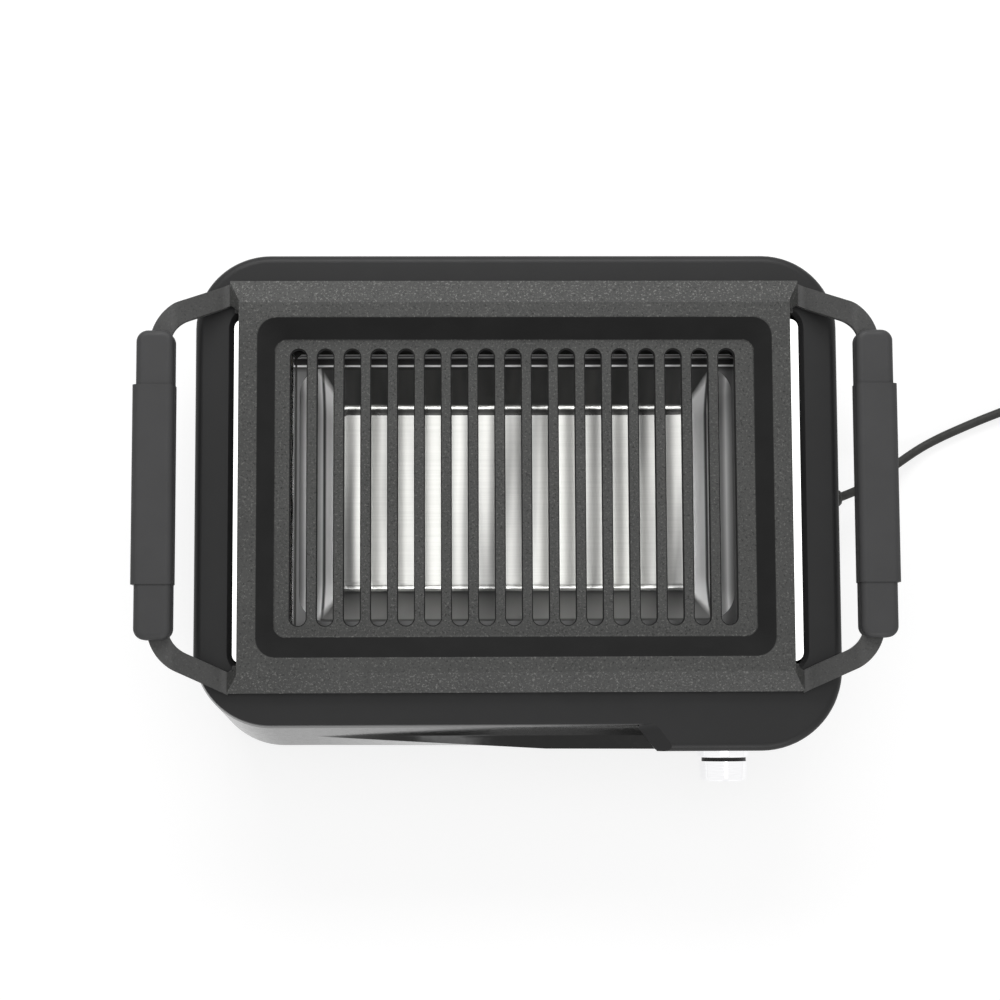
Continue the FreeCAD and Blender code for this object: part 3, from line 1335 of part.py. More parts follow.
def export_cord():
    path = cord_path([V(*p) for p in CORD_POINTS] + [COIL_START])
    cord = tube_along(path, CORD_D / 2)
    coil_line, end, heading = coil_path()
    coil = tube_along(coil_line, CORD_D / 2)
    section = math.pi * CORD_D ** 2 / 4
    for name, solid, line in (("free cord", cord, path), ("coil", coil, coil_line)):
        print(name, "length", round(line.Length, 1), "volume over section and length",
              round(solid.Volume / (section * line.Length), 4))
    samples = coil_samples(coil_line)
    print_least_gap(samples)
    body, pins = plug(end, heading)
    export("power_cord", cord)
    export("cord_coil", coil)
    export("cord_tie", cord_tie(samples))
    export("plug_body", body)
    export("plug_pins", *pins)


def main():
    os.makedirs("parts", exist_ok=True)
    export("upper_housing", upper_housing())
    export("base_pan", base_pan())
    export("front_fascia", front_fascia())
    export("foot_pads", *foot_pads())
    export("case_screws", *case_screws())
    export("seat_pads", *seat_pads())
    export_on_plate("grill_plate", grill_plate())
    export_on_plate("handle_screws", *handle_screws())
    bar = handle_bar()
    sleeve = grip_sleeve()
    rear_cap = grip_cap()
    caps = [rear_cap, mirrored_y(rear_cap)]
    for side, place in (("right", lambda s: s), ("left", mirrored)):
        export_on_plate(side + "_handle_bar", place(bar))
        export_on_plate(side + "_grip_sleeve", place(sleeve))
        export_on_plate(side + "_grip_caps", *[place(cap) for cap in caps])
        export(side + "_reflector", place(trough()))
        export(side + "_heating_rod", place(heating_rod()))
        export(side + "_heating_coil", place(heating_wire()))
        export(side + "_heat_shield", place(side_shield()))
    export("drip_tray", drip_tray())
    export("inner_liner", inner_liner())
    export("liner_posts", *liner_posts())
    export("liner_screws", *liner_screws())
    export("ceramic_ends", *ceramic_ends())
    export("rod_brackets", *rod_brackets())
    export("rod_tabs", *rod_tabs())
    export("rear_shield", chamber_shield())
    export("front_shield", mirrored_y(chamber_shield()))
    export("knob_ring", knob_ring())
    export("knob", knob())
    export("knob_skirt", knob_skirt())
    export("knob_pointer", knob_pointer())
    export("knob_shaft", knob_shaft())
    export("rotary_switch", rotary_switch())
    export("switch_bracket", switch_bracket())
    export("terminal_block", terminal_block())
    export("cord_clamp", cord_clamp())
    export("inner_lead", inner_lead())
    export("cord_gland", cord_gland())
    export("thermal_cutout", thermal_cutout())
    export("wiring", *rod_leads(), *switch_leads(), *cutout_leads(), *cord_cores())
    export_cord()


main()
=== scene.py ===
import math

import bpy
from mathutils import Euler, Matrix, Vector


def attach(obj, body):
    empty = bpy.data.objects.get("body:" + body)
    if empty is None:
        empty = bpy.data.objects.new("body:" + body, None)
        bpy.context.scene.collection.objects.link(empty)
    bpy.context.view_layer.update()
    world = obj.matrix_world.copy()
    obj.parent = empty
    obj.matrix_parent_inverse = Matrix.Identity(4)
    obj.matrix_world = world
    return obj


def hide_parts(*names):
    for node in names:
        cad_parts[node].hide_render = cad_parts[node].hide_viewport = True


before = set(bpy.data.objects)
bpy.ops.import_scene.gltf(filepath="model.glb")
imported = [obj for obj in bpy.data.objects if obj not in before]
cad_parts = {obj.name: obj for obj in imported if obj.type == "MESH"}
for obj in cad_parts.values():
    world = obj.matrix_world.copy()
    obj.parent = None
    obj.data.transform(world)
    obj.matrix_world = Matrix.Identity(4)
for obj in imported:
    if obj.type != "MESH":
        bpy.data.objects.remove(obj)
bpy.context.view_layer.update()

MM = 0.001
UP = Vector((0, 0, 1))

# Camera: nearly overhead, leaning a little to the front; turns in degrees, lens and sensor in millimetres
CAMERA_PLACE = (-0.0395, -0.1262, 1.601)
CAMERA_TURN = (5.384, -1.028, -0.246)
CAMERA_LENS = 75.6
CAMERA_SENSOR = 36.0
CAMERA_REACH = 20.0

# Cord: route and coil as in the part's source, in millimetres and degrees; the length in metres
CORD_D = 6.6
CORD_POINTS = [
    (242.5, 22.0, 31.6),
    (263.3, 29.6, 24.4),
    (280.9, 41.6, 14.4),
    (299.0, 54.2, 6.8),
    (313.6, 63.8, 3.6),
    (328.6, 71.6, 3.4),
    (344.5, 78.6, 3.4),
    (359.8, 85.0, 3.5),
    (375.4, 91.0, 3.8),
    (391.5, 97.0, 4.3),
]
COIL_START = Vector((415.6, 105.75, 4.5))
COIL_HEADING = 20.0
COIL_OUTER_R = 45.0
COIL_PITCH = 7.2
COIL_LAYER = 7.1
COIL_TAIL = 19.8
COIL_STEP = 30.0
STEPS_IN_QUARTER = 3
QUARTERS_IN = 10
QUARTERS_OUT = 9

# Plate, in metres: middle and half length of the well along each axis, and the width over which the walls'
# painted shade and matt finish fade in
WELL_X = (-0.0018, 0.1825)
WELL_Y = (0.0207, 0.1212)
WELL_FADE = 0.001

# Tray, in metres: up its walls, up into the flange, across the flange, and outward along the ends
TRAY_MIDDLE_Y = 0.020
TRAY_WALL_Z = (0.068, 0.0942)
TRAY_FLANGE_Z = (0.096, 0.097)
TRAY_FLANGE_Y = (0.088, 0.102)
TRAY_END_X = (0.128, 0.158)

# Tray: lean at which the long walls begin, where 0 faces the front, 0.5 faces up and 1 faces the rear
TRAY_REAR_LEAN = (0.16, 0.14)
TRAY_FRONT_LEAN = (0.835, 0.86)

# Tray: painted highlight and shade lines over the lean at the foot's folds, dark tones with painted
# highlights across the flange, and painted reflection streaks outward along the ends
TRAY_FOOT_HIGHLIGHTS_AND_SHADE = [
    (0.16, 1.0), (0.265, 1.0), (0.3, 0.1), (0.46, 0.1), (0.49, 1.0),
    (0.615, 1.0), (0.64, 0.4), (0.705, 0.4), (0.735, 1.0),
]
TRAY_FLANGE_DARK_AND_HIGHLIGHTS = [
    (0.0, 0.12), (0.27, 0.035), (0.3, 0.95), (0.36, 0.95), (0.4, 0.035),
    (0.69, 0.035), (0.73, 0.7), (0.77, 0.7), (0.82, 0.05), (0.87, 0.8),
]
TRAY_END_PAINTED_REFLECTIONS = [
    (0.1, 1.0), (0.34, 1.0), (0.37, 0.12), (0.4, 0.12), (0.43, 1.0), (0.52, 0.6),
    (0.6, 0.3), (0.72, 0.5), (0.8, 1.0), (0.88, 0.5), (0.98, 0.06),
]

# Noise: nearly all of its values lie between these two; rolled lines reach their full tone sooner
NOISE_LOW = 0.3
NOISE_HIGH = 0.7
LINES_HIGH = 0.65

# Edges stay sharp where faces meet at more than this, in degrees
SHARP_ANGLE = 32.0

# Stage, in metres, and the brightness of its white
FLOOR_HALF = 6.0
FLOOR_Z = -0.0004
FLOOR_TONE = 0.36
FLOOR_GLOW = 0.74
AMBIENT = 0.35

# Lamps: name, place, target, width and depth in metres, power in watts
LAMPS = [
    ("rear_softbox", (-0.1, 1.3, 1.15), (0, 0.1, 0.1), (1.6, 0.7), 19.0),
    ("front_softbox", (0.4, -2.0, 1.25), (0, 0, 0.1), (1.6, 0.8), 18.0),
    ("top_softbox", (0.1, 0.3, 2.6), (0, 0, 0.1), (1.6, 1.6), 7.0),
]


# Camera and cord

def new_camera():
    data = bpy.data.cameras.new("photo_camera")
    data.sensor_width = CAMERA_SENSOR
    data.lens = CAMERA_LENS
    data.clip_end = CAMERA_REACH
    camera = bpy.data.objects.new("photo_camera", data)
    camera.location = CAMERA_PLACE
    camera.rotation_euler = Euler([math.radians(a) for a in CAMERA_TURN])
    bpy.context.scene.collection.objects.link(camera)
    bpy.context.scene.camera = camera


def coil_points():
    """Control points of the coil: three to each quarter turn, on lines that touch the turn."""
    angle = math.radians(COIL_HEADING)
    heading = Vector((math.cos(angle), math.sin(angle), 0))
    place = COIL_START + heading * CORD_D
    radius = COIL_OUTER_R
    points = [COIL_START]

    def turn(place, heading, radius, tilt, steps):
        inward = heading.cross(UP) * math.cos(tilt) + UP * math.sin(tilt)
        centre = place + inward * radius
        reach = radius / math.cos(math.radians(COIL_STEP / 2))
        for i in range(steps):
            a = math.radians(COIL_STEP / 2 + COIL_STEP * i)
            points.append(centre - inward * (reach * math.cos(a)) + heading * (reach * math.sin(a)))
        a = math.radians(COIL_STEP * steps)
        end = centre - inward * (radius * math.cos(a)) + heading * (radius * math.sin(a))
        return end, (heading * math.cos(a) + inward * math.sin(a)).normalized()

    for _ in range(QUARTERS_IN):
        place, heading = turn(place, heading, radius, 0.0, STEPS_IN_QUARTER)
        radius -= COIL_PITCH / 4
    climb = math.asin(COIL_LAYER / 2 / radius)
    place, heading = turn(place, heading, radius, climb, 2 * STEPS_IN_QUARTER)
    for _ in range(QUARTERS_OUT):
        radius += COIL_PITCH / 4
        place, heading = turn(place, heading, radius, 0.0, STEPS_IN_QUARTER)
    return points + [place + heading * (COIL_TAIL / 2), place + heading * COIL_TAIL]


def new_cord():
    route = [Vector(p) for p in CORD_POINTS] + coil_points()
    data = bpy.data.curves.new("mains_cord", "CURVE")
    data.dimensions = "3D"
    data.resolution_u = 10
    data.bevel_depth = 1.0
    data.bevel_resolution = 5
    spline = data.splines.new("NURBS")
    spline.points.add(len(route) - 1)
    for point, place in zip(spline.points, route):
        point.co = (*(place * MM), 1.0)
        point.radius = CORD_D / 2 * MM
    spline.order_u = 3
    spline.use_endpoint_u = True
    cord = bpy.data.objects.new("mains_cord", data)
    bpy.context.scene.collection.objects.link(cord)
    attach(cord, "base")
    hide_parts("power_cord", "cord_coil")
    return cord


# What the materials are made with

def grey(tone):
    return (tone, tone, tone)


def shade(color, factor):
    return tuple(factor * c for c in color)


class Finish:
    """A material with a principled shader, its plain values, and helpers that add procedural detail."""

    def __init__(self, name, color=grey(0.5), roughness=0.5, metallic=0.0, **sockets):
        self.material = bpy.data.materials.new(name)
        self.material.use_nodes = True
        self.tree = self.material.node_tree
        self.shader = self.tree.nodes["Principled BSDF"]
        self.shader.inputs["Base Color"].default_value = (*color, 1.0)
        self.shader.inputs["Roughness"].default_value = roughness
        self.shader.inputs["Metallic"].default_value = metallic
        for socket, value in sockets.items():
            self.shader.inputs[socket.replace("_", " ")].default_value = value

    def node(self, kind, **settings):
        made = self.tree.nodes.new(kind)
        for key, value in settings.items():
            if key in made.inputs:
                made.inputs[key].default_value = value
            else:
                setattr(made, key, value)
        return made

    def link(self, output, target):
        self.tree.links.new(output, target)

    def place(self, stretch=(1, 1, 1)):
        """Object coordinates in metres, stretched along the axes."""
        coords = self.node("ShaderNodeTexCoord")
        mapping = self.node("ShaderNodeMapping")
        mapping.inputs["Scale"].default_value = stretch
        self.link(coords.outputs["Object"], mapping.inputs["Vector"])
        return mapping.outputs["Vector"]

    def noise(self, scale, detail=2.0, rough=0.5, stretch=(1, 1, 1)):
        made = self.node("ShaderNodeTexNoise", Scale=scale, Detail=detail, Roughness=rough)
        self.link(self.place(stretch), made.inputs["Vector"])
        return made.outputs["Fac"]

    def streaks(self, repeats, detail=2.0, rough=0.5):
        """Noise with its own number of repeats to the metre along each axis."""
        return self.noise(1.0, detail, rough, repeats)

    def cells(self, scale, stretch):
        made = self.node("ShaderNodeTexVoronoi", Scale=scale)
        self.link(self.place(stretch), made.inputs["Vector"])
        return made.outputs["Distance"]

    def turns(self, scale):
        """Even waves along Y."""
        made = self.node("ShaderNodeTexWave", Scale=scale, Distortion=0.0, bands_direction="Y")
        self.link(self.place(), made.inputs["Vector"])
        return made.outputs["Fac"]

    def ramp(self, value, stops):
        """Colours or tones of grey, at stops along a value from 0 to 1."""
        made = self.node("ShaderNodeValToRGB")
        elements = made.color_ramp.elements
        while len(elements) < len(stops):
            elements.new(0.5)
        for element, (at, color) in zip(elements, stops):
            element.position = at
            element.color = (*(color if isinstance(color, tuple) else grey(color)), 1.0)
        self.link(value, made.inputs["Fac"])
        return made.outputs["Color"]

    def tones(self, value, dark, light, low=NOISE_LOW, high=NOISE_HIGH):
        """Two colours that follow a noise."""
        return self.ramp(value, [(low, dark), (high, light)])

    def span(self, value, low, high, to_low, to_high):
        """A value between low and high, carried over to other limits and held there."""
        made = self.node("ShaderNodeMapRange")
        for key, number in (("From Min", low), ("From Max", high), ("To Min", to_low), ("To Max", to_high)):
            made.inputs[key].default_value = number
        self.link(value, made.inputs["Value"])
        return made.outputs["Result"]

    def fade(self, value, start, end):
        """0 up to the start, rising to 1 at the end."""
        return self.span(value, start, end, 0.0, 1.0)

    def spread(self, value, low, high):
        """A noise, spread from one number to the other."""
        return self.span(value, NOISE_LOW, NOISE_HIGH, low, high)

    def mix(self, factor, first, second, mode="MIX"):
        """Two colours mixed; inputs 6 and 7 and output 2 are the node's colours."""
        made = self.node("ShaderNodeMix", data_type="RGBA", blend_type=mode)
        for slot, value in ((0, factor), (6, first), (7, second)):
            if isinstance(value, (int, float)):
                made.inputs[slot].default_value = value
            elif isinstance(value, tuple):
                made.inputs[slot].default_value = (*value, 1.0)
            else:
                self.link(value, made.inputs[slot])
        return made.outputs[2]

    def maths(self, operation, first, second=0.0):
        made = self.node("ShaderNodeMath", operation=operation)
        for slot, value in enumerate((first, second)):
            if isinstance(value, (int, float)):
                made.inputs[slot].default_value = value
            else:
                self.link(value, made.inputs[slot])
        return made.outputs[0]

    def times(self, first, second):
        return self.maths("MULTIPLY", first, second)

    def larger(self, first, second):
        return self.maths("MAXIMUM", first, second)

    def amount(self, value):
        """The value without its sign."""
        return self.maths("ABSOLUTE", value)

    def part(self, vector, axis):
        parts = self.node("ShaderNodeSeparateXYZ")
        self.link(vector, parts.inputs["Vector"])
        return parts.outputs[axis]

    def facing(self, axis):
        """One part of the surface's direction, signed."""
        return self.part(self.node("ShaderNodeNewGeometry").outputs["Normal"], axis)

    def along(self, axis):
        """One of the object coordinates, in metres."""
        return self.part(self.place(), axis)

    def off(self, axis, middle):
        """How far a point lies from a middle along one axis, signed, in metres."""
        return self.maths("SUBTRACT", self.along(axis), middle)

    def bump(self, height, strength, depth):
        """Relief of a depth in millimetres, laid over the relief that is already there."""
        made = self.node("ShaderNodeBump", Strength=strength, Distance=depth * MM)
        self.link(height, made.inputs["Height"])
        previous = self.shader.inputs["Normal"].links
        if previous:
            self.link(previous[0].from_socket, made.inputs["Normal"])
        self.link(made.outputs["Normal"], self.shader.inputs["Normal"])

    def color(self, output):
        self.link(output, self.shader.inputs["Base Color"])

    def roughness(self, output):
        self.link(output, self.shader.inputs["Roughness"])


# Mouldings and rubber

def grained_plastic(name, dark, light, rough=(0.45, 0.6), grain=1600.0, strength=0.35, specular=0.35):
    """A moulded surface with fine spark-eroded grain and slow changes of tone."""
    finish = Finish(name, roughness=rough[0], Specular_IOR_Level=specular)
    slow = finish.tones(finish.noise(14.0, 3.0), dark, light)
    grains = finish.noise(grain, 2.0)
    speck = finish.tones(grains, dark, light, 0.35, 0.65)
    finish.color(finish.mix(0.35, slow, speck))
    finish.roughness(finish.spread(finish.noise(60.0, 3.0), *rough))
    finish.bump(grains, strength, 0.1)
    return finish.material


def gloss_panel(name):
    """Glossy black moulding with faint orange peel and slow changes of tone."""
    finish = Finish(name, Specular_IOR_Level=0.28)
    finish.color(finish.tones(finish.noise(9.0, 2.0), (0.004, 0.004, 0.0038), (0.007, 0.0068, 0.0064)))
    finish.roughness(finish.spread(finish.noise(260.0, 2.0), 0.12, 0.18))
    finish.bump(finish.noise(420.0, 1.0), 0.05, 0.1)
    return finish.material


def soft_rubber(name, dark, light):
    finish = Finish(name, Specular_IOR_Level=0.3)
    finish.color(finish.tones(finish.noise(320.0, 3.0), dark, light))
    finish.roughness(finish.spread(finish.noise(120.0, 2.0), 0.5, 0.66))
    finish.bump(finish.noise(2200.0, 1.0), 0.2, 0.05)
    return finish.material


# Coated plate and bars

def coat_flecks(finish):
    return finish.ramp(finish.noise(640.0, 3.0, 0.75), [(0.55, 0.0), (0.66, 1.0)])


def coat_color(finish, dark, light, fleck, flecks, pit_tone):
    """A sprayed coat with pale flecks and dark pits."""
    tone = finish.tones(finish.noise(22.0, 4.0), dark, light)
    pits = finish.ramp(finish.noise(560.0, 3.0, 0.7), [(0.34, 1.0), (0.45, 0.0)])
    return finish.mix(pits, finish.mix(flecks, tone, fleck), shade(dark, pit_tone))


def coat_grain(finish):
    """Relief of the coat and of the slightly uneven metal under it; gives the coat's roughness."""
    grain = finish.noise(900.0, 2.0)
    finish.bump(grain, 0.45, 0.15)
    finish.bump(finish.noise(90.0, 2.0), 0.1, 0.4)
    return finish.spread(grain, 0.42, 0.54)


def inside_well(finish):
    """1 on the well's walls, which are left matt and painted near-black as shade, and 0 elsewhere."""
    within = finish.fade(finish.facing("Z"), 0.97, 0.85)
    for axis, (middle, half) in (("X", WELL_X), ("Y", WELL_Y)):
        far = finish.amount(finish.off(axis, middle))
        within = finish.times(within, finish.fade(far, half, half - WELL_FADE))
    return within


def coated_bar(name, dark, light, fleck):
    finish = Finish(name, Specular_IOR_Level=0.3)
    finish.color(coat_color(finish, dark, light, fleck, coat_flecks(finish), 0.75))
    finish.roughness(coat_grain(finish))
    return finish.material


def coated_plate(name, dark, light, fleck):
    """The same coat, with fewer flecks on level faces; the well's walls are matt and painted near-black as
    shade.
    """
    finish = Finish(name, Specular_IOR_Level=0.3)
    slope = finish.span(finish.amount(finish.facing("Y")), 0.1, 0.4, 0.5, 1.0)
    coat = coat_color(finish, dark, light, fleck, finish.times(coat_flecks(finish), slope), 0.4)
    # Painted shade: the well's walls get a near-black tone in place of the coat
    painted_wall_shade = finish.tones(finish.noise(40.0, 2.0), 0.0125, 0.0165)
    wall = inside_well(finish)
    finish.color(finish.mix(wall, coat, painted_wall_shade))
    finish.roughness(finish.mix(wall, coat_grain(finish), grey(1.0)))
    return finish.material


# Sheets

def brushed_sheet(name, color, rough, along):
    """Rolled sheet with fine lines along one axis and faint waves."""
    finish = Finish(name, color=color, metallic=1.0)
    lines = finish.streaks(tuple(6 if axis == along else 900 for axis in "XYZ"), 3.0, 0.6)
    finish.color(finish.tones(lines, shade(color, 0.86), color, high=LINES_HIGH))
    finish.roughness(finish.spread(lines, *rough))
    finish.bump(lines, 0.25, 0.04)
    finish.bump(finish.noise(35.0, 1.0), 0.12, 0.6)
    return finish.material


def polished_sheet(name, color):
    """Bright sheet with the slow waves that pressing leaves and faint rolling lines."""
    finish = Finish(name, color=color, metallic=1.0)
    lines = finish.streaks((8, 700, 700))
    finish.color(finish.tones(lines, shade(color, 0.93), color, high=LINES_HIGH))
    finish.roughness(finish.spread(finish.noise(70.0, 2.0), 0.06, 0.12))
    finish.bump(finish.noise(22.0, 1.0), 0.1, 0.6)
    return finish.material


def tray_floor(finish, lean):
    """Rolled floor with painted reflections of the plate's bars as slow bands, and painted highlight and
    shade lines along the folds at its foot.
    """
    lines = finish.streaks((10, 900, 900))
    rolled = finish.tones(lines, (0.79, 0.79, 0.775), (0.86, 0.86, 0.84), high=LINES_HIGH)
    # Painted reflections of the plate's bars, as slow light and dark bands
    bar_reflection_waves = finish.streaks((44, 3.5, 3.5), rough=0.45)
    painted_bar_reflections = finish.ramp(bar_reflection_waves, [(0.35, 0.34), (0.47, (0.82, 0.82, 0.81)), (0.56, (1.0, 1.0, 0.98))])
    floor_with_reflections = finish.mix(1.0, rolled, painted_bar_reflections, "MULTIPLY")
    # Painted highlight and shade lines along the folds at the floor's foot
    return finish.mix(1.0, floor_with_reflections, finish.ramp(lean, TRAY_FOOT_HIGHLIGHTS_AND_SHADE), "MULTIPLY")


# Painted shade: the long rear wall is painted dark, in faint streaks
def tray_rear_wall_shade(finish):
    return finish.tones(finish.streaks((60, 8, 8)), 0.06, (0.11, 0.11, 0.108))


# Painted shade at the front wall's foot, lightening towards its top
def tray_front_wall_shade(finish, height):
    rise = finish.fade(height, *TRAY_WALL_Z)
    return finish.ramp(rise, [(0.0, 0.06), (1.0, (0.31, 0.31, 0.305))])


def tray_flange_highlights(finish):
    """Mostly dark, with painted highlights along its folds."""
    across = finish.fade(finish.off("Y", TRAY_MIDDLE_Y), *TRAY_FLANGE_Y)
    return finish.ramp(across, TRAY_FLANGE_DARK_AND_HIGHLIGHTS)


def tray_end_reflections(finish):
    """Painted reflections of the slots, as light and dark streaks along the folds of the end walls."""
    outward = finish.fade(finish.amount(finish.along("X")), *TRAY_END_X)
    return finish.ramp(outward, TRAY_END_PAINTED_REFLECTIONS)


def drawn_tray(name):
    """A drawn tray: bright floor with painted reflections of the bars, long walls painted with shade, a
    dark flange with painted highlights on its folds, and matt ends with painted reflection streaks.
    """
    finish = Finish(name, metallic=0.7)
    height = finish.along("Z")
    lean = finish.fade(finish.facing("Y"), -1.0, 1.0)
    rear = finish.fade(lean, *TRAY_REAR_LEAN)
    front = finish.fade(lean, *TRAY_FRONT_LEAN)
    flange = finish.fade(height, *TRAY_FLANGE_Z)
    ends = finish.fade(finish.amount(finish.facing("X")), 0.15, 0.35)

    color = finish.mix(rear, tray_floor(finish, lean), tray_rear_wall_shade(finish))
    color = finish.mix(front, color, tray_front_wall_shade(finish, height))
    color = finish.mix(flange, color, tray_flange_highlights(finish))
    finish.color(finish.mix(ends, color, tray_end_reflections(finish)))

    dull = finish.larger(finish.larger(rear, front), flange)
    sheen = finish.span(dull, 0.0, 1.0, 0.17, 0.3)
    finish.roughness(finish.mix(ends, sheen, grey(0.75)))
    finish.bump(finish.noise(18.0, 1.0), 0.05, 0.6)
    return finish.material


# Plated metal

def turned_chrome(name):
    """Plating over fine turning marks."""
    finish = Finish(name, color=(0.93, 0.93, 0.94), metallic=1.0)
    lines = finish.streaks((120, 2600, 120))
    finish.color(finish.tones(lines, (0.91, 0.91, 0.92), (0.97, 0.97, 0.98)))
    finish.roughness(finish.spread(lines, 0.05, 0.12))
    finish.bump(lines, 0.02, 0.03)
    return finish.material


def plated_steel(name, color=(0.62, 0.62, 0.6), rough=(0.28, 0.42)):
    finish = Finish(name, metallic=1.0)
    tone = finish.noise(240.0, 3.0)
    finish.color(finish.tones(tone, shade(color, 0.8), color))
    finish.roughness(finish.spread(tone, *rough))
    finish.bump(finish.noise(1400.0, 1.0), 0.12, 0.05)
    return finish.material


# Rods and leads

def quartz_glass(name):
    """Clear tube with a faint milkiness that grows in streaks along it."""
    finish = Finish(name, color=(0.93, 0.94, 0.93), roughness=0.05, IOR=1.46, Transmission_Weight=0.9)
    finish.roughness(finish.spread(finish.streaks((500, 20, 500)), 0.03, 0.16))
    finish.bump(finish.noise(60.0, 1.0), 0.08, 0.3)
    return finish.material


def wound_wire(name):
    """Resistance wire: close dark turns round the element."""
    finish = Finish(name, metallic=0.9)
    turns = finish.turns(75.0)
    finish.color(finish.tones(turns, (0.02, 0.018, 0.016), (0.3, 0.26, 0.22), low=0.2))
    finish.roughness(finish.span(turns, 0.0, 1.0, 0.6, 0.35))
    finish.bump(turns, 0.8, 1.0)
    return finish.material


def fired_ceramic(name):
    finish = Finish(name)
    tone = finish.noise(180.0, 4.0)
    finish.color(finish.tones(tone, (0.6, 0.57, 0.5), (0.76, 0.73, 0.66)))
    finish.roughness(finish.spread(tone, 0.55, 0.75))
    finish.bump(finish.noise(1200.0, 3.0), 0.3, 0.1)
    return finish.material


def braided_lead(name):
    finish = Finish(name)
    weave = finish.cells(2200.0, (1, 1, 0.6))
    finish.color(finish.tones(weave, (0.5, 0.47, 0.4), (0.68, 0.65, 0.58), low=0.1))
    finish.roughness(finish.span(weave, 0.0, 1.0, 0.6, 0.8))
    finish.bump(weave, 0.5, 0.1)
    return finish.material


# Which piece gets which finish

def paint(material, *names):
    for name in names:
        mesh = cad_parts[name].data
        mesh.materials.clear()
        mesh.materials.append(material)


def paint_housing():
    shell = grained_plastic("charcoal_moulding", (0.006, 0.006, 0.0062), (0.009, 0.009, 0.0094),
                            rough=(0.45, 0.5), specular=0.3)
    paint(shell, "upper_housing")
    paint(grained_plastic("black_moulding", grey(0.012), grey(0.02)), "base_pan")
    paint(gloss_panel("black_panel"), "front_fascia")
    paint(soft_rubber("foot_rubber", grey(0.012), (0.024, 0.024, 0.023)), "foot_pads", "seat_pads")
    paint(turned_chrome("turned_chrome"), "knob", "knob_ring")
    paint(grained_plastic("collar_moulding", grey(0.012), grey(0.02)), "knob_skirt", "knob_pointer")


def paint_plate():
    plate = coated_plate("speckled_coating", (0.044, 0.0445, 0.043), (0.056, 0.0565, 0.0545),
                         (0.2, 0.2, 0.19))
    paint(plate, "grill_plate")
    bar = coated_bar("bar_coating", (0.056, 0.056, 0.055), (0.065, 0.065, 0.064), (0.085, 0.085, 0.083))
    paint(bar, "left_handle_bar", "right_handle_bar")
    grip = grained_plastic("grip_moulding", (0.034, 0.034, 0.0345), (0.041, 0.041, 0.042),
                           rough=(0.5, 0.62), grain=2300.0, strength=0.25)
    paint(grip, "left_grip_sleeve", "right_grip_sleeve", "left_grip_caps", "right_grip_caps")


def paint_chamber():
    paint(drawn_tray("drawn_tray"), "drip_tray")
    paint(brushed_sheet("liner_sheet", (0.07, 0.07, 0.068), (0.3, 0.45), "X"), "inner_liner")
    paint(polished_sheet("mirror_sheet", (0.93, 0.93, 0.92)), "left_reflector", "right_reflector")
    paint(brushed_sheet("shield_sheet", (0.14, 0.14, 0.138), (0.35, 0.5), "Z"),
          "left_heat_shield", "right_heat_shield", "front_shield", "rear_shield")
    paint(quartz_glass("quartz"), "left_heating_rod", "right_heating_rod")
    paint(wound_wire("element_wire"), "left_heating_coil", "right_heating_coil")
    paint(fired_ceramic("ceramic"), "ceramic_ends")
    paint(plated_steel("tab_brass", (0.72, 0.55, 0.28)), "rod_tabs")


def paint_fittings():
    paint(plated_steel("zinc_steel"),
          "rod_brackets", "liner_posts", "liner_screws", "case_screws", "switch_bracket", "handle_screws")
    paint(plated_steel("ground_steel", grey(0.7), rough=(0.15, 0.25)), "knob_shaft")
    paint(grained_plastic("switch_moulding", grey(0.02), grey(0.035)), "rotary_switch", "cord_clamp")
    paint(grained_plastic("cutout_moulding", (0.05, 0.035, 0.03), (0.07, 0.05, 0.04)), "thermal_cutout")
    paint(grained_plastic("block_moulding", (0.5, 0.48, 0.42), (0.6, 0.58, 0.52)), "terminal_block")
    paint(braided_lead("braided_lead"), "wiring")


def paint_cord(cord):
    jacket = soft_rubber("cord_jacket", (0.026, 0.026, 0.024), (0.034, 0.034, 0.032))
    paint(jacket, "cord_gland", "inner_lead", "cord_tie")
    cord.data.materials.append(jacket)
    plug = grained_plastic("plug_moulding", grey(0.014), grey(0.022), rough=(0.4, 0.5), grain=1800.0)
    paint(plug, "plug_body")
    paint(plated_steel("nickel", (0.78, 0.76, 0.72), rough=(0.12, 0.2)), "plug_pins")


def smooth_nodes():
    """Smooth shading across curved faces, with the edges kept sharp."""
    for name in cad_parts:
        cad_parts[name].data.set_sharp_from_angle(angle=math.radians(SHARP_ANGLE))


# Stage and light

def seen_rays(tree):
    """1 for what is seen straight, in a reflection or through glass, and 0 for light on the pieces."""
    rays = tree.nodes.new("ShaderNodeLightPath")
    seen = rays.outputs["Is Camera Ray"]
    for kind in ("Is Glossy Ray", "Is Transmission Ray"):
        either = tree.nodes.new("ShaderNodeMath")
        either.operation = "MAXIMUM"
        tree.links.new(seen, either.inputs[0])
        tree.links.new(rays.outputs[kind], either.inputs[1])
        seen = either.outputs[0]
    return seen


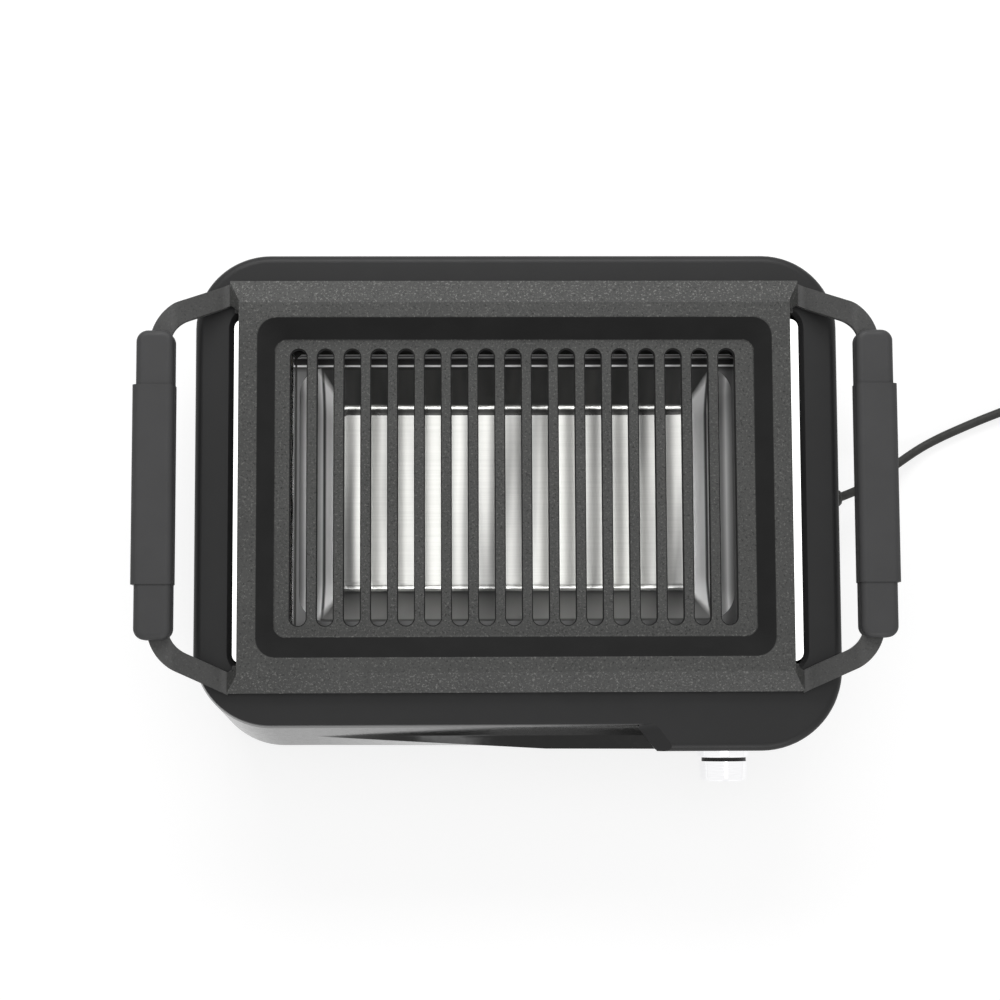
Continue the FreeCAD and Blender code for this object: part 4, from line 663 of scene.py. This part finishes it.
def new_floor():
    """A pale floor that keeps the shadow and meets the white surroundings."""
    mesh = bpy.data.meshes.new("studio_floor")
    corners = [(x * FLOOR_HALF, y * FLOOR_HALF, 0) for x, y in ((-1, -1), (1, -1), (1, 1), (-1, 1))]
    mesh.from_pydata(corners, [], [(0, 1, 2, 3)])
    floor = bpy.data.objects.new("studio_floor", mesh)
    bpy.context.scene.collection.objects.link(floor)
    floor.location.z = FLOOR_Z
    finish = Finish("studio_floor", color=grey(FLOOR_TONE), roughness=0.9, Specular_IOR_Level=0.0)
    glow = finish.node("ShaderNodeEmission")
    finish.link(finish.times(seen_rays(finish.tree), FLOOR_GLOW), glow.inputs["Strength"])
    both = finish.node("ShaderNodeAddShader")
    finish.link(finish.shader.outputs[0], both.inputs[0])
    finish.link(glow.outputs[0], both.inputs[1])
    finish.link(both.outputs[0], finish.tree.nodes["Material Output"].inputs["Surface"])
    mesh.materials.append(finish.material)


def new_world():
    world = bpy.data.worlds.new("studio")
    world.use_nodes = True
    bpy.context.scene.world = world
    tree = world.node_tree
    background = tree.nodes["Background"]
    background.inputs["Color"].default_value = (1.0, 1.0, 1.0, 1.0)
    level = tree.nodes.new("ShaderNodeMapRange")
    level.inputs["To Min"].default_value = AMBIENT
    level.inputs["To Max"].default_value = 1.0
    tree.links.new(seen_rays(tree), level.inputs["Value"])
    tree.links.new(level.outputs["Result"], background.inputs["Strength"])


def new_lamp(name, place, target, size, power):
    data = bpy.data.lights.new(name, "AREA")
    data.shape = "RECTANGLE"
    data.size = size[0]
    data.size_y = size[1]
    data.energy = power
    lamp = bpy.data.objects.new(name, data)
    lamp.location = place
    lamp.rotation_euler = (Vector(target) - Vector(place)).to_track_quat("-Z", "Y").to_euler()
    bpy.context.scene.collection.objects.link(lamp)


new_camera()
cord = new_cord()
paint_housing()
paint_plate()
paint_chamber()
paint_fittings()
paint_cord(cord)
smooth_nodes()
new_floor()
new_world()
for lamp in LAMPS:
    new_lamp(*lamp)
bpy.context.scene.view_settings.view_transform = "Standard"
